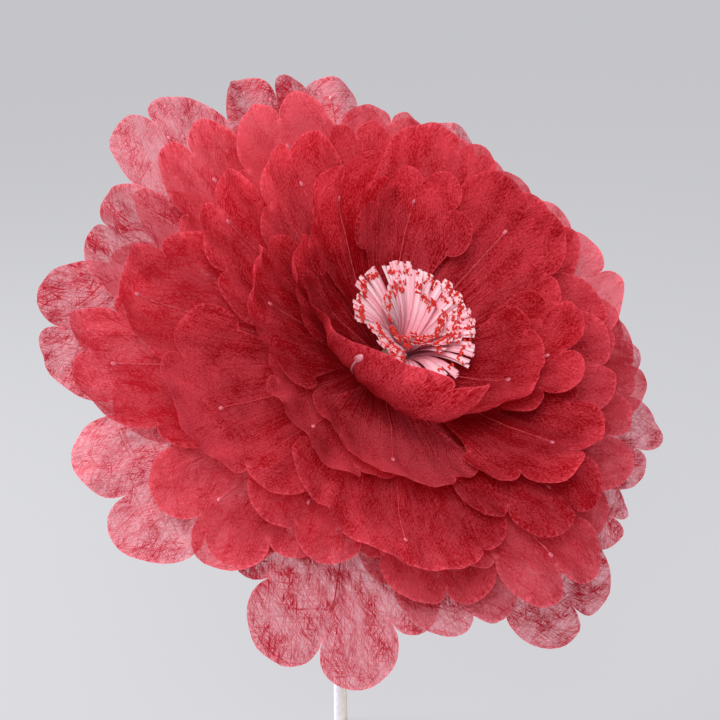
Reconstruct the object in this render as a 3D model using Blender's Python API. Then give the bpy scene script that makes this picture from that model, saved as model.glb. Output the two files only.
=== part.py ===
"""Large layered paper peony, tilted forward on a straight white pole.

Units are metres, +Z is up, and the origin is the middle of the pole's cut foot. The flower head
is modelled upright round its own axis and leans towards -Y with the empty that carries it.

Every petal is cut flat with a scalloped crown, stiffened with a wire rib, and then bent. The bend
follows one family of nested cups round the flower axis. A petal's level says which cup it lies
on: level 0 is the flat outermost cup, and each next level is steeper and has its foot higher on
the core. Petals of one level stand side by side, and each sways by less than half a level, so
neighbouring petals come close without cutting into each other.
"""

import math
from typing import NamedTuple

import bpy
import bmesh
from mathutils import Vector
from mathutils.geometry import delaunay_2d_cdt

GAP = 0.0003

# Pole and neck
POLE_LENGTH = 0.354
POLE_RADIUS = 0.0070
WRAP_THICKNESS = 0.0007
WRAP_START = 0.0020
TAPE_THICKNESS = 0.0009
TAPE_LENGTH = 0.093
TAPE_ANGLE = 110.0
TAPE_FACING = -62.0
NECK_RADIUS = 0.0080
NECK_BEND_RADIUS = 0.120
NECK_FOOT = 0.025
NECK_STRAIGHT = 0.049
NECK_STEPS = 10
TAPE_STEPS = 10
BINDING_THICKNESS = 0.0008
BINDING_LENGTH = 0.045

# Flower head
HEAD_TILT = 47.0
CORE_RADIUS = 0.0140
CORE_BELOW = 0.009
CORE_ABOVE = 0.058
SOCKET_DEPTH = 0.025
SPIGOT_RADIUS = 0.0035
SPIGOT_HEIGHT = 0.016

# Petal paper
PAPER = 0.0006
FOOT_WIDTH = 0.010
RIB_WIDTH = 0.0026
RIB_HEIGHT = 0.0014
TAB_WIDTH = 0.009
TAB_LENGTH = 0.010
RIB_START = 0.012
RIB_STEPS = 5

# Bend of a petal: how far it sways from its cup, where that begins, its waves per half width, and
# where its free end begins, beyond the petals that lie on it
SWAY = 0.26
SWAY_START = 0.30
WAVES = 1.1
FREE_START = 0.70

# Crown of a petal, as shares of the petal's own length and width
CROWN_CENTRE = 0.60
SIDE_TAPER = 1.35

# Facets of a petal: degrees of crown per edge, edges down a side and across the foot, inner grid
LOBE_STEP = 9.0
SIDE_STEPS = 4
FOOT_STEPS = 4
GRID_ROWS = (0.26, 0.44, 0.60, 0.75)
GRID_COLUMNS = (0.36, 0.70)

# Fringe: its rolls and bands, and how far the whole brush leans over towards one side
FRINGE_ROLL = 0.0028
FRINGE_TIP = 0.0010
FRINGE_BAND = 0.011
FRINGE_STEPS = 4
FRINGE_LEAD = 0.3
FRINGE_DRIFT = 0.022
FRINGE_DRIFT_AZIMUTH = 20.0

ROUND_SEGMENTS = 32
SHARP_ANGLE = math.radians(38.0)


class Level(NamedTuple):
    """One cup of the nested family: its foot on the core, and its lean from the flower axis."""

    foot: float
    root_lean: float
    tip_lean: float
    reach: float


class Petal(NamedTuple):
    """One petal: its cup, its place round the axis, its cut size and how it is bent.

    Its free end curls on by more levels than its sway, and by side_curl more on one side than in
    the middle.
    """

    level: float
    azimuth: float
    length: float
    width: float
    notches: tuple
    notch_depth: float = 0.15
    rib_end: float = 0.80
    cup: float = 0.0
    tip: float = 0.0
    twist: float = 0.0
    wave: float = 0.0
    phase: float = 0.0
    curl: float = 0.0
    side_curl: float = 0.0
    free: float = FREE_START
    rib_outside: bool = False


class Fringe(NamedTuple):
    """One rolled strip of cut fringe: its roll, its teeth, their length and how far they splay."""

    name: str
    inner_radius: float
    teeth: int
    length: float
    splay: float


LEVELS = (
    Level(foot=0.000, root_lean=86.0, tip_lean=93.0, reach=0.39),
    Level(foot=0.006, root_lean=82.0, tip_lean=87.5, reach=0.38),
    Level(foot=0.012, root_lean=78.0, tip_lean=80.5, reach=0.35),
    Level(foot=0.018, root_lean=74.0, tip_lean=73.5, reach=0.32),
    Level(foot=0.024, root_lean=70.0, tip_lean=66.0, reach=0.29),
    Level(foot=0.030, root_lean=66.5, tip_lean=58.0, reach=0.26),
    Level(foot=0.036, root_lean=63.5, tip_lean=49.0, reach=0.23),
    Level(foot=0.042, root_lean=61.0, tip_lean=39.0, reach=0.20),
    Level(foot=0.048, root_lean=59.0, tip_lean=28.0, reach=0.18),
    Level(foot=0.054, root_lean=57.0, tip_lean=16.0, reach=0.16),
)

# Angles of the notches across the crown, from its left side to its right side
CROWN_SIDE = 106.0
PAIR = (-CROWN_SIDE, -57.0, 0.0, 57.0, CROWN_SIDE)
PAIR_LEFT = (-CROWN_SIDE, -62.0, 7.0, 54.0, CROWN_SIDE)
PAIR_RIGHT = (-CROWN_SIDE, -54.0, -8.0, 60.0, CROWN_SIDE)
TRIO = (-CROWN_SIDE, -72.0, -24.0, 26.0, 74.0, CROWN_SIDE)
BROAD = (-CROWN_SIDE, -52.0, 52.0, CROWN_SIDE)

OUTER_PETALS = (
    Petal(0.0, 218, 0.362, 0.250, PAIR, 0.32, 0.80, cup=-0.6, tip=-0.4, wave=0.5, phase=20,
          curl=-0.3),
    Petal(0.0, 292, 0.382, 0.240, PAIR, 0.22, 0.84, cup=0.4, tip=0.2, wave=0.5, curl=0.4, free=0.90),
    Petal(0.6, 337, 0.396, 0.230, PAIR, 0.20, 0.86, cup=0.5, tip=0.3, wave=0.5, phase=90),
    Petal(0.0, 18, 0.404, 0.205, TRIO, 0.20, 0.92, cup=0.3, tip=0.2, wave=0.6),
    Petal(0.0, 66, 0.394, 0.215, PAIR_LEFT, 0.14, 0.90, cup=0.6, tip=0.4, wave=0.5, phase=40),
    Petal(0.0, 114, 0.390, 0.230, TRIO, 0.24, 0.88, cup=-0.3, tip=-0.2, wave=0.6),
    Petal(0.0, 162, 0.362, 0.250, PAIR, 0.24, 0.86, cup=0.8, tip=0.2, twist=0.6, wave=0.4),
    Petal(0.6, 260, 0.390, 0.245, PAIR, 0.32, 0.80, cup=0.5, twist=-0.5, wave=0.4),
    Petal(1.2, 309, 0.355, 0.205, PAIR, 0.18, 0.82, cup=0.3, wave=0.4, phase=120,
          curl=0.3, side_curl=0.7, free=0.84),
    Petal(1.2, 0, 0.380, 0.190, PAIR_LEFT, 0.30, 0.88, cup=0.4, tip=0.3, wave=0.6),
    Petal(0.6, 43, 0.385, 0.215, TRIO, 0.18, 0.88, cup=0.3, wave=0.6, phase=30),
    Petal(0.6, 97, 0.370, 0.182, PAIR, 0.18, 0.86, cup=0.7, tip=-0.3, wave=0.4),
    Petal(0.6, 141, 0.335, 0.150, PAIR, 0.20, 0.84, cup=-0.5, wave=0.5, phase=70),
    Petal(0.6, 188, 0.305, 0.214, PAIR_RIGHT, 0.24, 0.88, cup=0.2, tip=-0.5, wave=0.6),
)

SECOND_PETALS = (
    Petal(1.2, 250, 0.345, 0.210, PAIR, 0.30, 0.80, cup=0.5, wave=0.6, phase=60, curl=0.3, free=0.86),
    Petal(1.8, 280, 0.388, 0.186, PAIR_LEFT, 0.22, 0.84, cup=0.4, tip=0.3, wave=0.5, curl=0.6, free=0.88),
    Petal(1.8, 333, 0.335, 0.195, PAIR, 0.24, 0.80, cup=0.6, tip=0.5, wave=0.3, curl=0.4, free=0.88),
    Petal(1.8, 26, 0.335, 0.190, PAIR, 0.20, 0.82, cup=0.3, wave=0.6, phase=50),
    Petal(1.2, 65, 0.360, 0.215, PAIR_RIGHT, 0.18, 0.84, cup=0.5, wave=0.5),
    Petal(1.8, 106, 0.335, 0.200, PAIR, 0.18, 0.82, cup=0.5, tip=-0.4, wave=0.5),
    Petal(1.2, 152, 0.305, 0.220, PAIR, 0.22, 0.80, cup=-0.5, twist=0.6, wave=0.6),
    Petal(1.8, 196, 0.285, 0.190, PAIR, 0.20, 0.82, cup=0.2, tip=-0.5, wave=0.5),
    Petal(2.4, 235, 0.290, 0.195, PAIR, 0.28, 0.78, cup=0.5, tip=0.4, wave=0.5),
    Petal(2.4, 292, 0.338, 0.200, BROAD, 0.22, 0.90, cup=0.7, tip=0.5, wave=0.3,
          curl=0.7, side_curl=0.4, free=0.82),
    Petal(3.0, 352, 0.315, 0.205, PAIR, 0.22, 0.82, cup=0.5, tip=0.3, wave=0.5, curl=0.4, free=0.88),
    Petal(2.4, 44, 0.320, 0.215, PAIR_LEFT, 0.18, 0.82, cup=0.5, wave=0.5),
    Petal(3.0, 86, 0.310, 0.200, PAIR, 0.16, 0.82, cup=0.7, wave=0.5, phase=30, curl=0.5, free=0.86),
    Petal(2.4, 130, 0.300, 0.205, PAIR_RIGHT, 0.30, 0.80, cup=0.4, wave=0.6),
    Petal(3.0, 172, 0.325, 0.205, PAIR, 0.32, 0.84, cup=0.5, tip=-0.5, wave=0.5, curl=-0.5, free=0.82),
)

MIDDLE_PETALS = (
    Petal(3.6, 212, 0.288, 0.250, BROAD, 0.14, 0.86, cup=-0.3, tip=-0.6, wave=0.4, curl=0.5, free=0.68),
    Petal(3.0, 265, 0.330, 0.222, BROAD, 0.26, 0.76, cup=0.5, tip=0.5, wave=0.5, curl=0.6, free=0.76),
    Petal(3.6, 317, 0.280, 0.180, PAIR, 0.28, 0.84, cup=0.6, tip=0.4, wave=0.5, curl=0.6, free=0.84),
    Petal(3.6, 12, 0.275, 0.150, PAIR_RIGHT, 0.20, 0.82, cup=0.5, tip=0.3, wave=0.5),
    Petal(3.6, 70, 0.280, 0.190, PAIR, 0.26, 0.80, cup=0.5, tip=0.3, wave=0.5, curl=0.5, free=0.88),
    Petal(4.2, 100, 0.265, 0.170, PAIR_LEFT, 0.18, 0.80, cup=0.5, tip=-0.3, wave=0.6),
    Petal(4.2, 163, 0.275, 0.195, PAIR, 0.34, 0.80, cup=0.4, tip=-0.3, wave=0.6, curl=-0.4, free=0.78),
    Petal(4.2, 248, 0.225, 0.190, PAIR, 0.24, 0.78, cup=0.5, tip=0.3, wave=0.5, curl=0.5, free=0.74),
    Petal(4.8, 293, 0.230, 0.180, BROAD, 0.22, 0.78, cup=0.6, tip=0.3, wave=0.5,
          curl=0.8, side_curl=0.5, free=0.76),
    Petal(4.2, 345, 0.262, 0.180, PAIR, 0.22, 0.80, cup=0.5, tip=0.4, wave=0.5, curl=0.5, free=0.88),
    Petal(4.8, 34, 0.268, 0.200, PAIR_LEFT, 0.20, 0.82, cup=0.5, tip=0.4, wave=0.5, curl=0.5, free=0.86),
    Petal(4.8, 116, 0.250, 0.190, PAIR, 0.24, 0.80, cup=0.5, tip=0.2, wave=0.6),
    Petal(4.8, 217, 0.195, 0.200, BROAD, 0.18, 0.80, cup=0.4, tip=-0.5, wave=0.5, curl=0.5, free=0.66),
)

INNER_PETALS = (
    Petal(5.4, 154, 0.245, 0.185, PAIR, 0.26, 0.80, cup=0.5, tip=-0.2, wave=0.6, curl=0.4, free=0.72),
    Petal(6.8, 256, 0.180, 0.235, BROAD, 0.10, 0.92, cup=-0.3, curl=1.5, side_curl=-1.7,
          free=0.42, rib_outside=True),
    Petal(6.8, 339, 0.238, 0.150, PAIR, 0.30, 0.78, cup=0.8, tip=0.5, curl=0.7,
          side_curl=0.9, free=0.66),
    Petal(6.0, 62, 0.236, 0.205, PAIR, 0.22, 0.80, cup=0.5, tip=0.3, wave=0.5, curl=0.8, free=0.76),
    Petal(6.0, 309, 0.190, 0.125, BROAD, 0.24, 0.76, cup=0.5, tip=0.5, wave=0.3,
          curl=0.5, side_curl=-0.4, free=0.75),
    Petal(7.4, 16, 0.205, 0.150, PAIR, 0.26, 0.80, cup=0.5, tip=0.4, wave=0.4, curl=0.4, free=0.66),
    Petal(6.8, 122, 0.208, 0.155, PAIR, 0.36, 0.78, cup=0.7, tip=0.2, curl=0.6,
          side_curl=-0.9, free=0.55),
    Petal(7.6, 140, 0.160, 0.176, BROAD, 0.14, 0.76, cup=0.6, curl=0.5, side_curl=0.4, free=0.50),
)

PETAL_SETS = (
    ("outer_petal", OUTER_PETALS, (0.80, 0.20, 0.26)),
    ("second_petal", SECOND_PETALS, (0.72, 0.10, 0.15)),
    ("middle_petal", MIDDLE_PETALS, (0.66, 0.06, 0.11)),
    ("inner_petal", INNER_PETALS, (0.62, 0.04, 0.09)),
)

FRINGES = (
    Fringe("fringe_inner", SPIGOT_RADIUS + GAP, 8, 0.080, 20.0),
    Fringe("fringe_middle", SPIGOT_RADIUS + FRINGE_ROLL + 2 * GAP, 12, 0.076, 40.0),
    Fringe("fringe_outer", SPIGOT_RADIUS + 2 * FRINGE_ROLL + 3 * GAP, 18, 0.072, 62.0),
)

POLE_WOOD = (0.62, 0.50, 0.34)
WHITE_PAPER = (0.80, 0.80, 0.83)
CREAM_TAPE = (0.78, 0.74, 0.60)
CORE_CARD = (0.72, 0.62, 0.52)
FRINGE_PINK = (0.90, 0.62, 0.66)


def clear_scene():
    """Remove every object that the file starts with."""
    for obj in list(bpy.data.objects):
        bpy.data.objects.remove(obj, do_unlink=True)


def make_material(name, colour, roughness):
    """Return a plain Principled material."""
    material = bpy.data.materials.new(name)
    material.use_nodes = True
    shader = material.node_tree.nodes["Principled BSDF"]
    shader.inputs["Base Color"].default_value = (*colour, 1.0)
    shader.inputs["Roughness"].default_value = roughness
    shader.inputs["Metallic"].default_value = 0.0
    return material


def add_empty(name, location, rotation):
    """Return an empty that carries the pieces of one sub-assembly."""
    empty = bpy.data.objects.new(name, None)
    empty.location = location
    empty.rotation_euler = rotation
    bpy.context.collection.objects.link(empty)
    return empty


def add_object(name, points, faces, material, parent):
    """Return a new object whose faces all point outwards."""
    mesh = bpy.data.meshes.new(name)
    mesh.from_pydata([tuple(point) for point in points], [], faces)
    work = bmesh.new()
    work.from_mesh(mesh)
    bmesh.ops.recalc_face_normals(work, faces=work.faces)
    work.to_mesh(mesh)
    work.free()
    mesh.shade_smooth()
    mesh.set_sharp_from_angle(angle=SHARP_ANGLE)
    mesh.materials.append(material)
    obj = bpy.data.objects.new(name, mesh)
    obj.parent = parent
    bpy.context.collection.objects.link(obj)
    return obj


def turned_body(profile, segments):
    """Return points and faces of a closed profile of (radius, height) turned round Z."""
    points = []
    rings = []
    for radius, height in profile:
        if radius == 0.0:
            rings.append([len(points)])
            points.append(Vector((0.0, 0.0, height)))
            continue
        first = len(points)
        rings.append(list(range(first, first + segments)))
        for index in range(segments):
            angle = 2.0 * math.pi * index / segments
            points.append(Vector((radius * math.cos(angle), radius * math.sin(angle), height)))
    faces = []
    closed = profile[0][0] > 0.0
    pairs = list(zip(rings, rings[1:] + rings[:1])) if closed else list(zip(rings, rings[1:]))
    for low, high in pairs:
        for index in range(segments):
            after = (index + 1) % segments
            corners = [low[index % len(low)], low[after % len(low)],
                       high[after % len(high)], high[index % len(high)]]
            faces.append(list(dict.fromkeys(corners)))
    return points, faces


def swept_body(path, radius, segments):
    """Return points and faces of a round bar whose path lies in the YZ plane."""
    points = []
    for place, direction in path:
        across = Vector((1.0, 0.0, 0.0))
        upright = direction.cross(across)
        for step in range(segments):
            angle = 2.0 * math.pi * step / segments
            points.append(place + radius * (math.cos(angle) * across + math.sin(angle) * upright))
    faces = [list(range(segments))]
    for ring in range(len(path) - 1):
        for step in range(segments):
            after = (step + 1) % segments
            low = ring * segments
            high = low + segments
            faces.append([low + step, low + after, high + after, high + step])
    last = (len(path) - 1) * segments
    faces.append(list(range(last, last + segments)))
    return points, faces


def lean_direction(lean):
    """Return the direction of the stem where it leans by an angle towards -Y."""
    return Vector((0.0, -math.sin(lean), math.cos(lean)))


def neck_path(end_length):
    """Return places and directions along the neck: foot, bend and the straight end."""
    tilt = math.radians(HEAD_TILT)
    bend_start = POLE_LENGTH + NECK_FOOT
    path = [(Vector((0.0, 0.0, POLE_LENGTH + GAP)), lean_direction(0.0))]
    for step in range(NECK_STEPS + 1):
        lean = tilt * step / NECK_STEPS
        place = Vector((0.0, -NECK_BEND_RADIUS * (1.0 - math.cos(lean)),
                        bend_start + NECK_BEND_RADIUS * math.sin(lean)))
        path.append((place, lean_direction(lean)))
    last = path[-1][0]
    path.append((last + end_length * lean_direction(tilt), lean_direction(tilt)))
    return path


def build_pole(parent):
    """Build the bare pole: a plain round bar with its flat foot at the origin."""
    profile = [(0.0, 0.0), (POLE_RADIUS, 0.0), (POLE_RADIUS, POLE_LENGTH), (0.0, POLE_LENGTH)]
    points, faces = turned_body(profile, ROUND_SEGMENTS)
    add_object("stem_pole", points, faces, make_material("pole_wood", POLE_WOOD, 0.6), parent)


def build_wrap(parent):
    """Build the white paper sleeve that is wrapped round the pole."""
    inner = POLE_RADIUS + GAP
    outer = inner + WRAP_THICKNESS
    top = POLE_LENGTH - GAP
    profile = [(inner, WRAP_START), (outer, WRAP_START), (outer, top), (inner, top)]
    points, faces = turned_body(profile, ROUND_SEGMENTS)
    add_object("pole_wrap", points, faces, make_material("white_paper", WHITE_PAPER, 0.8), parent)


def build_tape(parent):
    """Build the cream tape stuck lengthwise on the lower end of the wrap."""
    inner = POLE_RADIUS + GAP + WRAP_THICKNESS + GAP
    outer = inner + TAPE_THICKNESS
    points = []
    for height in (WRAP_START, TAPE_LENGTH):
        for radius in (inner, outer):
            for step in range(TAPE_STEPS + 1):
                angle = math.radians(TAPE_FACING + TAPE_ANGLE * (step / TAPE_STEPS - 0.5))
                points.append(Vector((radius * math.cos(angle), radius * math.sin(angle), height)))
    row = TAPE_STEPS + 1
    faces = []
    for step in range(TAPE_STEPS):
        for low, high in ((0, row), (2 * row, 3 * row), (0, 2 * row), (row, 3 * row)):
            faces.append([low + step, low + step + 1, high + step + 1, high + step])
    for end in (0, TAPE_STEPS):
        faces.append([end, row + end, 3 * row + end, 2 * row + end])
    add_object("tape_strip", points, faces, make_material("cream_tape", CREAM_TAPE, 0.7), parent)


def build_neck(parent):
    """Build the bent neck of bundled petal wires, and the tape that binds it to the pole."""
    reach = NECK_STRAIGHT + SOCKET_DEPTH - CORE_BELOW - GAP
    points, faces = swept_body(neck_path(reach), NECK_RADIUS, ROUND_SEGMENTS)
    add_object("neck_bundle", points, faces, make_material("neck_paper", WHITE_PAPER, 0.85), parent)
    inner = max(NECK_RADIUS, POLE_RADIUS + GAP + WRAP_THICKNESS) + GAP
    outer = inner + BINDING_THICKNESS
    low = POLE_LENGTH - 0.5 * BINDING_LENGTH
    high = low + BINDING_LENGTH
    profile = [(inner, low), (outer, low), (outer, high), (inner, high)]
    points, faces = turned_body(profile, ROUND_SEGMENTS)
    add_object("neck_binding", points, faces, make_material("binding", WHITE_PAPER, 0.8), parent)


def build_core(parent):
    """Build the wound paper core: a socket for the neck below and a spigot for the fringe."""
    socket = NECK_RADIUS + GAP
    profile = [
        (0.0, SOCKET_DEPTH - CORE_BELOW),
        (socket, SOCKET_DEPTH - CORE_BELOW),
        (socket, -CORE_BELOW),
        (CORE_RADIUS, -CORE_BELOW),
        (CORE_RADIUS, CORE_ABOVE),
        (SPIGOT_RADIUS, CORE_ABOVE),
        (SPIGOT_RADIUS, CORE_ABOVE + SPIGOT_HEIGHT),
        (0.0, CORE_ABOVE + SPIGOT_HEIGHT),
    ]
    points, faces = turned_body(profile, ROUND_SEGMENTS)
    add_object("flower_core", points, faces, make_material("core_card", CORE_CARD, 0.8), parent)


def tooth_line(fringe):
    """Return (outward, height, lean) along the middle of one tooth, above the band's top."""
    splay = math.radians(fringe.splay)
    step_length = fringe.length / FRINGE_STEPS
    outward = 0.0
    height = 0.0
    line = []
    for step in range(1, FRINGE_STEPS + 1):
        lean = splay * min(1.0, (step + FRINGE_LEAD) / FRINGE_STEPS)
        outward += step_length * math.sin(lean)
        height += step_length * math.cos(lean)
        line.append((outward, height, lean))
    return line


def add_tooth(fringe, angle, half_width, section, points, faces):
    """Grow one tooth from a quad of the band's top edge, and close its tip."""
    radial = Vector((math.cos(angle), math.sin(angle), 0.0))
    side = Vector((-radial.y, radial.x, 0.0))
    upright = Vector((0.0, 0.0, 1.0))
    middle = fringe.inner_radius + 0.5 * FRINGE_ROLL
    top = CORE_ABOVE + GAP + FRINGE_BAND
    azimuth = math.radians(FRINGE_DRIFT_AZIMUTH)
    drift = FRINGE_DRIFT * Vector((math.sin(azimuth), math.cos(azimuth), 0.0))
    line = tooth_line(fringe)
    for number, (outward, height, lean) in enumerate(line, start=1):
        through = math.cos(lean) * radial - math.sin(lean) * upright
        half_depth = 0.5 * (FRINGE_ROLL + (FRINGE_TIP - FRINGE_ROLL) * number / len(line))
        centre = (middle + outward) * radial + (top + height) * upright
        centre += (height / fringe.length) ** 2 * drift
        following = []
        for across, depth in ((-1, -1), (1, -1), (1, 1), (-1, 1)):
            following.append(len(points))
            points.append(centre + across * half_width * side + depth * half_depth * through)
        for corner in range(4):
            beside = (corner + 1) % 4
            faces.append([section[corner], section[beside], following[beside], following[corner]])
        section = following
    faces.append(section)


def build_fringe(fringe, parent, material):
    """Build one rolled fringe: a wound band whose upper edge is cut into splayed teeth."""
    inner = fringe.inner_radius
    outer = inner + FRINGE_ROLL
    low = CORE_ABOVE + GAP
    high = low + FRINGE_BAND
    count = 2 * fringe.teeth
    slot = 2.0 * math.pi / count
    points = []
    for radius, height in ((inner, low), (outer, low), (inner, high), (outer, high)):
        for edge in range(count):
            angle = slot * edge
            points.append(Vector((radius * math.cos(angle), radius * math.sin(angle), height)))
    faces = []
    for edge in range(count):
        after = (edge + 1) % count
        for first, second in ((0, 1), (1, 3), (0, 2)):
            faces.append([first * count + edge, first * count + after,
                          second * count + after, second * count + edge])
        top = [2 * count + edge, 2 * count + after, 3 * count + after, 3 * count + edge]
        if edge % 2:
            faces.append(top)
        else:
            half_width = inner * math.sin(0.5 * slot)
            add_tooth(fringe, slot * (edge + 0.5), half_width, top, points, faces)
    add_object(fringe.name, points, faces, material, parent)


def level_values(level):
    """Return foot, root lean, tip lean and reach of a cup, also between two listed levels."""
    lower = min(max(int(math.floor(level)), 0), len(LEVELS) - 2)
    share = level - lower
    first = LEVELS[lower]
    second = LEVELS[lower + 1]
    return [a + (b - a) * share for a, b in zip(first, second)]


def cup_point(level, along):
    """Return (radius, height) of a cup's profile, a circular arc, at a distance from its foot."""
    foot, root_lean, tip_lean, reach = level_values(level)
    start = math.radians(root_lean)
    rate = math.radians(tip_lean - root_lean) / reach
    radius = CORE_RADIUS + GAP + 0.5 * PAPER
    if abs(rate) < 1e-6:
        return radius + along * math.sin(start), foot + along * math.cos(start)
    end = start + rate * along
    return (radius + (math.cos(start) - math.cos(end)) / rate,
            foot + (math.sin(end) - math.sin(start)) / rate)


def petal_sway(petal, across, along):
    """Return how far a point of a petal lies from the petal's own cup, as a share of a level."""
    side = 2.0 * across / petal.width
    share = along / petal.length
    bend = petal.cup * side * side
    bend += petal.tip * share ** 3
    bend += petal.twist * side * share
    turn = 2.0 * math.pi * WAVES * side + math.radians(petal.phase)
    bend += petal.wave * share * share * math.sin(turn)
    fade = min(1.0, max(0.0, share / SWAY_START))
    swayed = SWAY * math.tanh(bend) * fade * fade * (3.0 - 2.0 * fade)
    over = max(0.0, share - petal.free) / (1.0 - petal.free)
    return swayed + (petal.curl + petal.side_curl * side) * over * over


def bent_point(petal, across, along):
    """Bend one point of the flat petal onto its cup, at azimuth 0."""
    apex = CORE_RADIUS + GAP + 0.5 * PAPER
    distance = math.hypot(across, along + apex)
    swing = math.atan2(across, along + apex)
    reached = distance - apex
    level = petal.level + petal_sway(petal, across, max(reached, 0.0))
    radius, height = cup_point(level, reached)
    turn = swing * distance / radius
    return Vector((radius * math.sin(turn), radius * math.cos(turn), height))


def corner_normals(points, facets):
    """Return the mean direction of the facets round each point of a bent sheet."""
    normals = [Vector((0.0, 0.0, 0.0)) for _ in points]
    for facet in facets:
        first, second, third = (points[corner] for corner in facet)
        square = (second - first).cross(third - first).normalized()
        for corner, place in zip(facet, (first, second, third)):
            others = [points[other] - place for other in facet if other != corner]
            normals[corner] += others[0].angle(others[1]) * square
    return [normal.normalized() for normal in normals]


def crown_point(petal, angle, depth):
    """Return a point of the crown's edge at an angle from the petal's middle line."""
    turn = math.radians(angle)
    scale = 1.0 - depth
    return Vector((0.5 * petal.width * math.sin(turn) * scale,
                   petal.length * (CROWN_CENTRE + (1.0 - CROWN_CENTRE) * math.cos(turn) * scale)))


def lobe_points(petal, start, end):
    """Return the round lobe between two notches, without its last point."""
    steps = max(3, round(abs(end - start) / LOBE_STEP))
    points = []
    for step in range(steps):
        share = 0.5 - 0.5 * math.cos(math.pi * step / steps)
        bulge = math.sqrt(max(0.0, 1.0 - (2.0 * share - 1.0) ** 2))
        depth = petal.notch_depth * (1.0 - bulge)
        points.append(crown_point(petal, start + (end - start) * share, depth))
    return points


def side_points(corner):
    """Return points down one side, from the crown's corner to the foot, without the ends."""
    points = []
    foot = math.copysign(0.5 * FOOT_WIDTH, corner.x)
    for step in range(1, SIDE_STEPS):
        share = 1.0 - step / SIDE_STEPS
        points.append(Vector((foot + (corner.x - foot) * share ** SIDE_TAPER, corner.y * share)))
    return points


def foot_points():
    """Return the foot's edge, an arc that seats all along on the round core."""
    apex = CORE_RADIUS + GAP + 0.5 * PAPER
    half = 0.5 * FOOT_WIDTH / apex
    points = []
    for step in range(FOOT_STEPS + 1):
        angle = half * (1.0 - 2.0 * step / FOOT_STEPS)
        points.append(Vector((apex * math.sin(angle), apex * math.cos(angle) - apex)))
    return points


def petal_outline(petal):
    """Return the flat outline of a petal, as a closed loop of points."""
    outline = []
    for start, end in zip(petal.notches, petal.notches[1:]):
        outline += lobe_points(petal, start, end)
    last = crown_point(petal, petal.notches[-1], petal.notch_depth)
    outline.append(last)
    outline += side_points(last)
    outline += foot_points()
    outline += list(reversed(side_points(outline[0])))
    return outline


def row_edges(outline, height):
    """Return the leftmost and rightmost points of the outline at one height."""
    crossings = []
    for start, end in zip(outline, outline[1:] + outline[:1]):
        if (start.y - height) * (end.y - height) < 0.0:
            share = (height - start.y) / (end.y - start.y)
            crossings.append(start.x + (end.x - start.x) * share)
    return min(crossings), max(crossings)


def inner_points(petal, outline):
    """Return points inside the outline, in rows across the petal, clear of the rib."""
    points = []
    for share in GRID_ROWS:
        height = share * petal.length
        left, right = row_edges(outline, height)
        for part in GRID_COLUMNS:
            points.append(Vector((left * part, height)))
            points.append(Vector((right * part, height)))
    return points


def rib_rows(petal):
    """Return the distances along the petal at which the rib has a row of points."""
    end = petal.rib_end * petal.length
    rows = [RIB_START]
    for step in range(1, RIB_STEPS + 1):
        rows.append(RIB_START + (end - TAB_LENGTH - RIB_START) * step / RIB_STEPS)
    rows.append(end)
    return rows


def rib_half_width(petal, along):
    """Return half the rib's width, which grows at the tab that ends it."""
    tab_start = petal.rib_end * petal.length - TAB_LENGTH
    return 0.5 * (TAB_WIDTH if along > tab_start + 1e-6 else RIB_WIDTH)


def rib_points(petal):
    """Return the rib's points, row by row: left edge, crest, right edge."""
    points = []
    for along in rib_rows(petal):
        half = rib_half_width(petal, along)
        points += [Vector((-half, along)), Vector((0.0, along)), Vector((half, along))]
    return points


def rib_edges(first, rows):
    """Return the lines along the rib that the facets have to keep."""
    edges = []
    for row in range(rows - 1):
        for column in range(3):
            low = first + 3 * row + column
            edges.append((low, low + 3))
    return edges


def sheet_facets(outline, inside, edges):
    """Cut a flat outline into triangles over the given points, and keep the points' order."""
    points = outline + inside
    loop = list(range(len(outline)))
    result = delaunay_2d_cdt(points, edges, [loop], 1, 1e-7)
    order = [sources[0] for sources in result[3]]
    return points, [[order[corner] for corner in face] for face in result[2]]


def build_petal(name, petal, material, parent):
    """Build one petal: a bent sheet of paper with a raised wire rib on one face."""
    outline = petal_outline(petal)
    inside = inner_points(petal, outline)
    rib = rib_points(petal)
    first_rib = len(outline) + len(inside)
    edges = rib_edges(first_rib, len(rib_rows(petal)))
    flat, facets = sheet_facets(outline, inside + rib, edges)
    middle = [bent_point(petal, spot.x, spot.y) for spot in flat]
    normals = corner_normals(middle, facets)
    lifts = [0.5 * PAPER] * len(middle)
    raised = [0.5 * PAPER + (RIB_HEIGHT if index >= first_rib and (index - first_rib) % 3 == 1 else 0.0)
              for index in range(len(middle))]
    above, below = (lifts, raised) if petal.rib_outside else (raised, lifts)
    points = [place + lift * normal for place, lift, normal in zip(middle, above, normals)]
    points += [place - lift * normal for place, lift, normal in zip(middle, below, normals)]
    start = len(middle)
    faces = list(facets)
    faces += [[start + corner for corner in reversed(facet)] for facet in facets]
    count = len(outline)
    for index in range(count):
        after = (index + 1) % count
        faces.append([index, start + index, start + after])
        faces.append([index, start + after, after])
    obj = add_object(name, points, faces, material, parent)
    obj.rotation_euler = (0.0, 0.0, -math.radians(petal.azimuth))
    return obj


def head_location():
    """Return where the lowest petals' feet meet the flower axis."""
    return neck_path(NECK_STRAIGHT)[-1][0]


def build_petals(parent):
    """Build every petal of every set, from the outermost to the innermost."""
    for set_name, petals, colour in PETAL_SETS:
        material = make_material(set_name + "_paper", colour, 0.75)
        for number, petal in enumerate(petals, start=1):
            build_petal(f"{set_name}_{number:02d}", petal, material, parent)


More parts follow.
